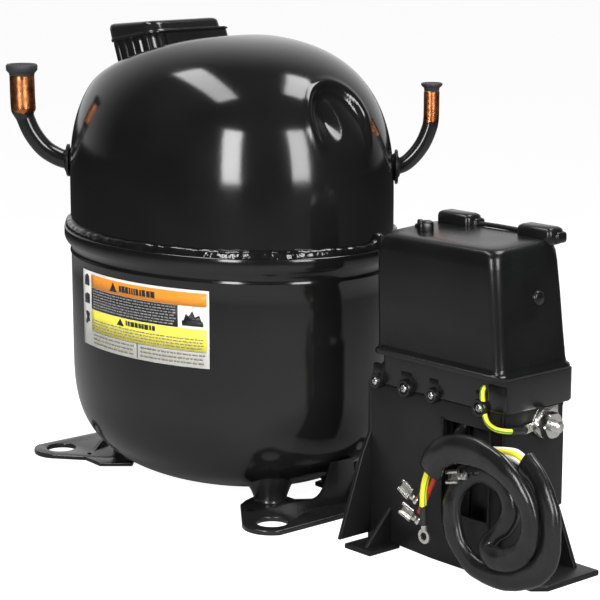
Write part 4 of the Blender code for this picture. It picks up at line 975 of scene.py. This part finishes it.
def box_base():
    """The tray: low walls that show under the cover, round screw bosses and the wire corner."""
    bm = bmesh.new()
    (left, right), (front, back) = BOX_X, BOX_Y
    outer = [rounded_outline((left + g, front + 0.004 + g), (right + 0.001 - g, back + 0.003 - g), (0.004,) * 4, 6)
        for g in (0.0006, 0.0, 0.0, 0.0006)]
    heights = (BOX_FLOOR_Z - 0.0013, BOX_FLOOR_Z - 0.0003, BOX_RIM_Z - 0.0006, BOX_RIM_Z)
    rows = [[Vector((x, y, z)) for x, y in outline] for outline, z in zip(outer, heights)]
    inner = rounded_outline((left + 0.0022, front + 0.0062), (right - 0.0012, back + 0.0008), (0.003,) * 4, 6)
    rows += [[Vector((x, y, z)) for x, y in inner] for z in (BOX_RIM_Z, BOX_FLOOR_Z + 0.0022)]
    add_grid(bm, rows, True, (True, True))
    face = BRACKET_FRONT_Y
    for number, x in enumerate(SCREW_X):
        size = 0.005 if number in (1, 3) else 0.0042
        add_turned(bm, [(size * 0.5, 0.0034), (size * 0.62, 0.0046), (size * 0.9, 0.0046), (size, 0.0038),
            (size, 0.0)], 32, turned((x, face - 0.0002, SCREW_Z), "X", 90))
        add_box(bm, (x - size, face - 0.0022, SCREW_Z), (x + size, face + 0.001, BOX_RIM_Z - 0.0075), 0.0012)
    floor_z, rim = BOX_FLOOR_Z, BOX_RIM_Z
    add_boxes(bm,
        ((left + 0.0005, face - 0.0018, floor_z - 0.0005), (right - 0.01, face + 0.001, rim - 0.006), 0.0006),
        ((0.2475, face - 0.003, 0.093), (0.259, face + 0.002, 0.106), 0.001),
        ((left - 0.004, front + 0.02, floor_z + 0.004), (left + 0.0008, front + 0.03, rim - 0.001), 0.0008))
    add_piece(bm, "box_tray", 40, "shell", "bracket_plastic", "box", node="box_base")


TO_XZ = Matrix(((1, 0, 0), (0, 0, -1), (0, 1, 0))).to_4x4()
TO_YZ = Matrix(((0, 0, 1), (1, 0, 0), (0, 1, 0))).to_4x4()


def bracket():
    """A moulded stand: front plate with a window, two walls, ribs, gussets and feet."""
    left, right = BRACKET_X
    front, back, sheet, top = BRACKET_FRONT_Y, BRACKET_BACK_Y, BRACKET_SHEET, BRACKET_TOP_Z
    window = [(left + 0.056, 0.03), (right - 0.008, 0.03), (right - 0.008, 0.08), (left + 0.056, 0.08)]
    outline = [(left, 0.003), (left + 0.048, 0.001), (right, 0.001), (right, top), (left, top)]
    bm = plate(outline, -front - sheet, -front, "front", 0.0005, (window,), TO_XZ)
    wing = [(front - 0.0225, 0.0045), (back, 0.0045), (back, top), (front, top), (front, 0.062),
        (front - 0.006, 0.05)]
    side = [(front, 0.001), (back, 0.001), (back, 0.024), (back - 0.0025, 0.0245), (back - 0.0025, 0.0335),
        (back, 0.034), (back, top - 0.016), (back - 0.001, top - 0.0155), (back - 0.001, top), (front, top)]
    gusset = [(front - 0.02, 0.001), (front + 0.001, 0.001), (front + 0.001, 0.023)]
    brace = [(right - 0.001, 0.001), (right + 0.016, 0.001), (right - 0.001, 0.04)]
    front_foot = [(left + 0.002, front - 0.021), (left + 0.022, front - 0.021), (left + 0.022, front + 0.0015),
        (left + 0.002, front + 0.0015)]
    left_foot = [(left - 0.002, front), (left + 0.006, front), (left + 0.006, back), (left - 0.002, back)]
    right_foot = [(right - 0.001, -0.026), (right + 0.019, -0.026), (right + 0.025, -0.019),
        (right + 0.025, back + 0.002), (right - 0.001, back + 0.002)]
    for shape, low, high, bevel, turn in (
            (wing, left - sheet, left, 0.0005, TO_YZ), (side, right - sheet, right, 0.0005, TO_YZ),
            (gusset, left + 0.014, left + 0.0166, 0.0005, TO_YZ),
            (brace, -back + 0.0034, -back + 0.006, 0.0005, TO_XZ),
            (front_foot, 0.0, 0.003, 0.0006, None), (left_foot, 0.0, 0.005, 0.0006, None),
            (right_foot, 0.0, 0.0032, 0.0006, None)):
        copy_into(bm, plate(shape, low, high, "part", bevel, (), turn))
    panel_y = front + 0.0118
    add_boxes(bm, ((left + 0.0005, front + 0.0005, top - 0.0026), (right - 0.0005, front + 0.01, top), 0.0004),
        ((left + 0.0005, back - 0.008, top - 0.0026), (right - 0.0005, back, top), 0.0004),
        ((left + 0.05, panel_y, 0.003), (right - 0.0013, panel_y + sheet, top - 0.002), 0.0004),
        ((left + 0.05, front + 0.0013, 0.0034), (left + 0.0526, panel_y + 0.001, top - 0.0034), 0.0004),
        *(((x, panel_y - 0.0016, 0.0034), (x + 0.0014, panel_y + 0.001, top - 0.0034), 0.0004)
          for x in (left + 0.064, left + 0.079)),
        *(((x - 0.0009, front + sheet - 0.0005, 0.004), (x + 0.0009, front + sheet + 0.006, top - 0.002), 0.0004)
          for x in (left + 0.03, left + 0.054)),
        ((right - 0.0092, front - 0.0012, 0.028), (right - 0.0078, front + 0.001, 0.081), 0.0005),
        ((left + 0.0545, front - 0.001, 0.028), (left + 0.056, front + 0.001, 0.0812), 0.0004))
    add_piece(bm, "bracket_stand", 35, "shell", "bracket_plastic", "bracket", node="box_bracket")


def screws():
    """Cross-head screws in the tray's bosses; each cross is a thin black box on the head, painted shade standing for
    the shadowed recess.
    """
    for number, x in enumerate(SCREW_X, 1):
        turn = turned((x, BRACKET_FRONT_Y - 0.004, SCREW_Z), "X", 90)
        bm = bmesh.new()
        add_turned(bm, [(0.0002, 0.001), (0.001, 0.0011), (0.0017, 0.0009), (0.0021, 0.0004), (0.0021, 0.0),
            (0.0012, -0.0002), (0.0012, -0.0035)], 28, turn)
        # the cross is painted shade: thin boxes in the black lead material stand for the shadow inside the zinc
        # recess
        for quarter in (0, 90):
            spin = turn @ Matrix.Rotation(radians(quarter + 20 * number), 4, "Z")
            add_box(bm, (-0.0012, -0.0002, 0.0006), (0.0012, 0.0002, 0.00115), 0.0, 1, 1, spin)
        add_piece(bm, f"tray_screw_{number}", 40, "shell", "zinc", "zinc", "black", node=f"lug_screw_{number}")


def hexagon(bm, turn, across, low, high):
    """A hexagon nut with turned corners."""
    chamfer, rows = 0.0008, []
    for z, round_off in ((low, 0.9), (low + chamfer, 1.0), (high - chamfer, 1.0), (high, 0.9)):
        row = []
        for step in range(48):
            angle = 2 * pi * step / 48
            flat = across / cos((angle + pi / 6) % (pi / 3) - pi / 6)
            reach = min(flat, across * 1.155 * round_off)
            row.append(turn @ Vector((reach * cos(angle), reach * sin(angle), z)))
        rows.append(row)
    rows += [ring(0.003, z, 48, turn) for z in (high, low)]
    add_grid(bm, [*rows, rows[0]], True)
    merge(bm)


def earth_parts():
    """Bolt, tab, lug and nut on the right wall."""
    face = BRACKET_X[1]
    turn = turned((face, EARTH.y, EARTH.z), "Y", 90)
    flat = Matrix.Translation((face, EARTH.y, EARTH.z)) @ TO_YZ
    bm = bmesh.new()
    thread = [(0.0001, 0.015), (0.002, 0.015), (0.0026, 0.0144)]
    for step in range(16):
        z = 0.0142 - step * 0.0006
        thread += [(0.003, z), (0.0027, z - 0.0003)]
    thread += [(0.003, 0.004), (0.003, -0.0031), (0.0054, -0.0031), (0.0054, -0.0068), (0.0001, -0.0068)]
    add_turned(bm, thread, 28, turn)
    add_piece(bm, "earth_stud", 30, "shell", "zinc", "zinc", node="earth_bolt")
    outline = arc(0.0, 0.0, 0.007, 150, 330, 16) + [(0.0125, 0.0005), (0.0125, 0.008), (-0.003, 0.0082)]
    bm = plate(outline, 0.0003, 0.0015, "tab", 0.0002, (circle(0.0, 0.0, 0.0033, 24),), flat)
    add_piece(bm, "earth_plate", 35, "shell", "zinc", "zinc", node="earth_tab")
    outline = arc(0.0, 0.0, 0.006, -150, 150, 24) + [(-0.0085, 0.0018), (-0.014, 0.0012), (-0.014, -0.0036),
        (-0.0085, -0.003)]
    bm = plate(outline, 0.0017, 0.0028, "lug", 0.0002, (circle(0.0, 0.0, 0.0033, 24),), flat)
    add_piece(bm, "earth_eye", 35, "shell", "zinc", "zinc", node="earth_lug")
    bm = bmesh.new()
    hexagon(bm, turn, 0.0064, 0.0045, 0.0102)
    add_turned(bm, [(0.0033, 0.003), (0.0076, 0.003), (0.0078, 0.0034), (0.0074, 0.0044), (0.0033, 0.0046)], 40, turn)
    add_piece(bm, "earth_hex_nut", 30, "shell", "zinc", "zinc", node="earth_nut")


EARTH_ROUTE = ((0.244, -0.0285, 0.1045), (0.2442, -0.0318, 0.1022), (0.2444, -0.0322, 0.0975),
    (0.245, -0.0318, 0.093), (0.2466, -0.0325, 0.0888), (0.2502, -0.0335, 0.0856),
    (0.2555, -0.0335, 0.0838), (0.2597, -0.0285, 0.0826), (0.26, -0.0215, 0.0818), (0.2586, -0.0153, 0.0808))


def earth_wire():
    path = smooth_path(EARTH_ROUTE, 0.0012)
    bm = bmesh.new()
    add_stripes(bm, path, 0.0014)
    add_sweep(bm, path[round(len(path) * 0.74):], 0.0021, 18, index=2)
    add_piece(bm, "earth_lead", 60, "shell", "earth_insulation", "green", "stripe", "black", node="earth_wire")


def add_stripes(bm, path, radius):
    """A two-coloured lead: the second colour takes two opposite bands."""
    sides, rows, across = 18, [], None
    for i, point in enumerate(path):
        ahead, across = next_across(path, i, across)
        other = ahead.cross(across)
        rows.append([point + (other * cos(2 * pi * s / sides) + across * sin(2 * pi * s / sides)) * radius
            for s in range(sides)])
    loops = add_grid(bm, rows, True, (True, True))
    for lower, upper in zip(loops, loops[1:]):
        for s in (3, 4, 12):
            shared = set(lower[s].link_faces) & set(lower[(s + 1) % sides].link_faces) & set(upper[s].link_faces)
            for face in shared:
                face.material_index = 1


# ---------------------------------------------------------------- harness
FEED_ROUTE = ((0.2237, -0.0215, 0.0925), (0.2236, -0.0217, 0.085), (0.223, -0.0232, 0.0775),
    (0.2232, -0.0278, 0.0732), (0.227, -0.0325, 0.0713), (0.235, -0.0355, 0.0702),
    (0.245, -0.0368, 0.07), (0.256, -0.0372, 0.0712), (0.268, -0.0385, 0.0738))
SLEEVE_ROUTE = ((0.283, -0.0415, 0.0735), (0.2925, -0.0425, 0.068), (0.2995, -0.044, 0.06),
    (0.304, -0.045, 0.0505), (0.3055, -0.0455, 0.04), (0.303, -0.0455, 0.0295),
    (0.2955, -0.0455, 0.02), (0.2835, -0.0455, 0.014), (0.268, -0.0455, 0.0112),
    (0.2535, -0.0455, 0.013), (0.243, -0.0455, 0.0205), (0.2372, -0.0455, 0.031),
    (0.2362, -0.045, 0.042), (0.2395, -0.043, 0.053), (0.2465, -0.0415, 0.06),
    (0.257, -0.0405, 0.062), (0.267, -0.04, 0.058), (0.2725, -0.04, 0.049),
    (0.2705, -0.0405, 0.039), (0.264, -0.042, 0.031), (0.261, -0.0445, 0.025),
    (0.267, -0.047, 0.022), (0.279, -0.0485, 0.0235), (0.2895, -0.0495, 0.03),
    (0.295, -0.05, 0.04), (0.2945, -0.0505, 0.052), (0.288, -0.0512, 0.063),
    (0.278, -0.052, 0.0705), (0.265, -0.0525, 0.0752), (0.251, -0.0525, 0.0757),
    (0.2385, -0.0525, 0.0722), (0.2302, -0.052, 0.0665), (0.2262, -0.051, 0.059))


JACKET_SHARE = 0.74                          # of the feed cable; bare leads run on from there


def harness():
    """The feed cable and the flat sleeve in one length, with leads at the sleeve's upper mouth."""
    feed = smooth_path(FEED_ROUTE, 0.002)
    sleeve = smooth_path(SLEEVE_ROUTE, 0.0016)
    whole = smooth_path([*FEED_ROUTE, *SLEEVE_ROUTE], 0.0016)
    bm = bmesh.new()
    add_sweep(bm, feed[:round(len(feed) * JACKET_SHARE)], 0.003, 16)
    add_feed_leads(bm)

    def section(share):
        mouth = 1.0 + 0.22 * exp(-(share / 0.018) ** 2) + 0.14 * exp(-((1 - share) / 0.022) ** 2)
        mouth += 0.22 * smoothstep(0.78, 0.9, share) + 0.08 * exp(-((share - 0.14) / 0.08) ** 2)
        pulse = 1.0 + 0.1 * noise.noise(Vector((share * 23.0, 0.0, 2.0)))
        pinch = 1.0 - 0.3 * exp(-((share - 0.6) / 0.02) ** 2)
        return 0.0062 * mouth * pulse * pinch, 0.0037 * (2.0 - pulse)

    def crease(spot):
        return 0.0012 * noise.noise(spot * 52.0) + 0.0003 * noise.noise(spot * 150.0)

    add_sweep(bm, sleeve, section, 30, Vector((0.05, 1.0, 0.0)).normalized(), (False, False), relief=crease)
    item = from_bmesh(bm, "harness_sleeve", 70)
    thicken(item, 0.0005, False)
    dress(item, "shell", "sleeve", "sleeve", "green", "pale", "black", replaced=("harness_feed", "harness_coil"))
    return item, whole


def add_feed_leads(bm):
    """The leads between the cable's jacket and the sleeve's upper mouth."""
    start = Vector((0.256, -0.0372, 0.0712))
    plan = ((0.0018, -0.0012, "green"), (-0.0004, -0.0022, "pale"), (0.0004, 0.0012, "black"),
        (0.0026, 0.0006, "pale"))
    for lift, depth, colour in plan:
        shift = Vector((0.0, depth, lift))
        path = smooth_path((start + shift * 0.4 - Vector((0.014, 0, 0.001)), Vector((0.268, -0.0385, 0.0738)) + shift,
            Vector((0.279, -0.0405, 0.0742)) + shift, Vector((0.288, -0.042, 0.0705)) + shift * 0.6,
            Vector((0.2945, -0.043, 0.065)) + shift * 0.4), 0.0012)
        add_sweep(bm, path, 0.0014, 14, index=("sleeve", "green", "pale", "black").index(colour))


def terminal_pair(bm, place):
    """A fast-on receptacle: two rolled edges over a flat floor, with its crimp."""
    length, half = 0.0085, 0.0032
    add_box(bm, (-length, -half, -0.0004), (0.0, half, 0.0003), 0.0002, 1, 0, place)
    for side in (-1, 1):
        centre = side * (half - 0.0006)
        rows = []
        for step in range(5):
            x = -length + length * step / 4
            rows.append([place @ Vector((x, centre + 0.0011 * cos(radians(a)), 0.0009 + 0.0011 * sin(radians(a))))
                for a in range(0, 360, 30)])
        add_grid(bm, rows, True, (True, True))
    add_box(bm, (0.0, -0.0017, -0.0004), (0.003, 0.0017, 0.0016), 0.0006, turn=place)
    add_box(bm, (0.0034, -0.002, -0.0005), (0.006, 0.002, 0.002), 0.0008, turn=place)


def leads_at_end():
    """Leads from the sleeve's lower mouth to four terminals."""
    bm = bmesh.new()
    mouth = Vector((0.2345, -0.05, 0.069))
    add_stripes(bm, smooth_path((mouth, (0.23, -0.05, 0.0655), (0.224, -0.0502, 0.058),
        (0.2205, -0.05, 0.048), (0.2195, -0.0495, 0.038)), 0.0012), 0.0019)
    for index, route in (
            (2, (mouth + Vector((0.003, -0.001, -0.002)), (0.232, -0.0485, 0.0625), (0.2262, -0.048, 0.054),
                 (0.2205, -0.0478, 0.043), (0.215, -0.0476, 0.033))),
            (3, (mouth + Vector((0.002, 0.002, -0.003)), (0.23, -0.0462, 0.061), (0.2235, -0.046, 0.052),
                 (0.2165, -0.0462, 0.044), (0.2125, -0.0465, 0.04)))):
        add_sweep(bm, smooth_path(route, 0.0012), 0.0014, 14, index=index)
    jacket = smooth_path(((0.2196, -0.0494, 0.0385), (0.2196, -0.0491, 0.033), (0.2196, -0.0488, 0.0275)), 0.0012)
    add_sweep(bm, jacket, 0.0019, 16, index=4)
    wires = add_piece(bm, "end_leads", 60, "shell", "sleeve", "green", "stripe", "red", "brown", "black",
        node="harness_leads")
    bm = bmesh.new()
    face = Matrix.Rotation(radians(78), 4, "X")
    for x, y, z, spin in ((0.2085, -0.047, 0.041, -30), (0.2105, -0.0478, 0.03, -20), (0.244, -0.0478, 0.059, 14)):
        terminal_pair(bm, turned((x, y, z), "Y", -spin) @ face)
    place = turned((0.2196, -0.0485, 0.0212), "X", 90)
    eye = ((0.004, 0.0005), (0.004, -0.0005), (0.0022, -0.0005), (0.0022, 0.0005), (0.004, 0.0005))
    add_grid(bm, [ring(radius, z, 28, place) for radius, z in eye], True)
    merge(bm)
    add_box(bm, (-0.0016, 0.003, -0.001), (0.0016, 0.0075, 0.001), 0.0005, 2, 0, place)
    return wires, add_piece(bm, "crimp_terminals", 40, "shell", "zinc", "tin")


# ---------------------------------------------------------------- carried-over CAD nodes
def dress_nodes():
    """Procedural finishes on the CAD nodes that stay: the parts inside the shell and the box."""
    plan = {"stator_core": "lamination", "upper_winding": "winding", "lower_winding": "winding", "rotor": "aluminium",
        "crankshaft": "steel", "oil_pickup": "steel", "wrist_pin": "steel", "piston": "steel", "valve_plate": "steel",
        "connecting_rod": "aluminium", "cylinder_head": "aluminium", "crankcase": "iron", "suction_muffler": "white",
        "discharge_loop": "steel", "terminal_header": "glass", "terminal_fence": "rail", "start_capacitor": "black",
        "start_relay": "white",}
    for number in range(1, 5):
        plan[f"stator_bolt_{number}"] = "zinc"
        plan[f"mount_spring_{number}"] = "steel"
    for number in range(1, 4):
        plan[f"terminal_pin_{number}"] = "steel"
    for node, finish_name in plan.items():
        item = frame["nodes"][node]
        item.data.materials.clear()
        item.data.materials.append(MATERIALS[finish_name])


def floor():
    """A pale floor that the camera sees a little brighter than the glossy paint does."""
    bm = bmesh.new()
    reach = 9.0
    bm.faces.new([bm.verts.new((x, y, 0.0)) for x, y in ((-reach, -reach), (reach, -reach), (reach, reach),
        (-reach, reach))])
    item = from_bmesh(bm, "studio_floor")
    made = surface("pale_floor", (0.8, 0.8, 0.79), 0.9, 0, (0.82, 0.82, 0.81), 3, 0.03, 0.02, 40, 0.0001,
        specular=0.0)
    nodes, links = made.node_tree.nodes, made.node_tree.links
    matte = nodes["Principled BSDF"]
    coords = nodes.new("ShaderNodeTexCoord")
    distance = nodes.new("ShaderNodeVectorMath")
    distance.operation = "LENGTH"
    links.new(coords.outputs["Object"], distance.inputs[0])
    shade = ramp_node(nodes, links, distance.outputs["Value"], 0.2, 1.1, 0.4, 0.04)
    shade.interpolation_type = "SMOOTHSTEP"
    links.new(shade.outputs["Result"], matte.inputs["Base Color"])
    path = nodes.new("ShaderNodeLightPath")
    matte.inputs["Emission Color"].default_value = (1.0, 1.0, 1.0, 1.0)
    lift = ramp_node(nodes, links, path.outputs["Is Camera Ray"], 0.0, 1.0, 0.0, 0.96)
    links.new(lift.outputs["Result"], matte.inputs["Emission Strength"])
    item.data.materials.append(made)


camera()
lights()
world()
random.seed(SEED)
bpy.context.scene.view_settings.view_transform = "Standard"
MATERIALS = make_materials()
sleeve, cord_path = harness()
end_leads, tips = leads_at_end()
upper_shell()
lower_shell()
weld_bead()
label()
rail(1, "rail_box_side", "base_rail_box_side")
rail(-1, "rail_far_side", "base_rail_far_side")
for stub_name in STUBS:
    stub(stub_name)
collar("suction", 0.01)
collar("discharge", 0.0102)
terminal_cover()
box_cover()
box_base()
bracket()
screws()
earth_parts()
earth_wire()
dress_nodes()
floor()
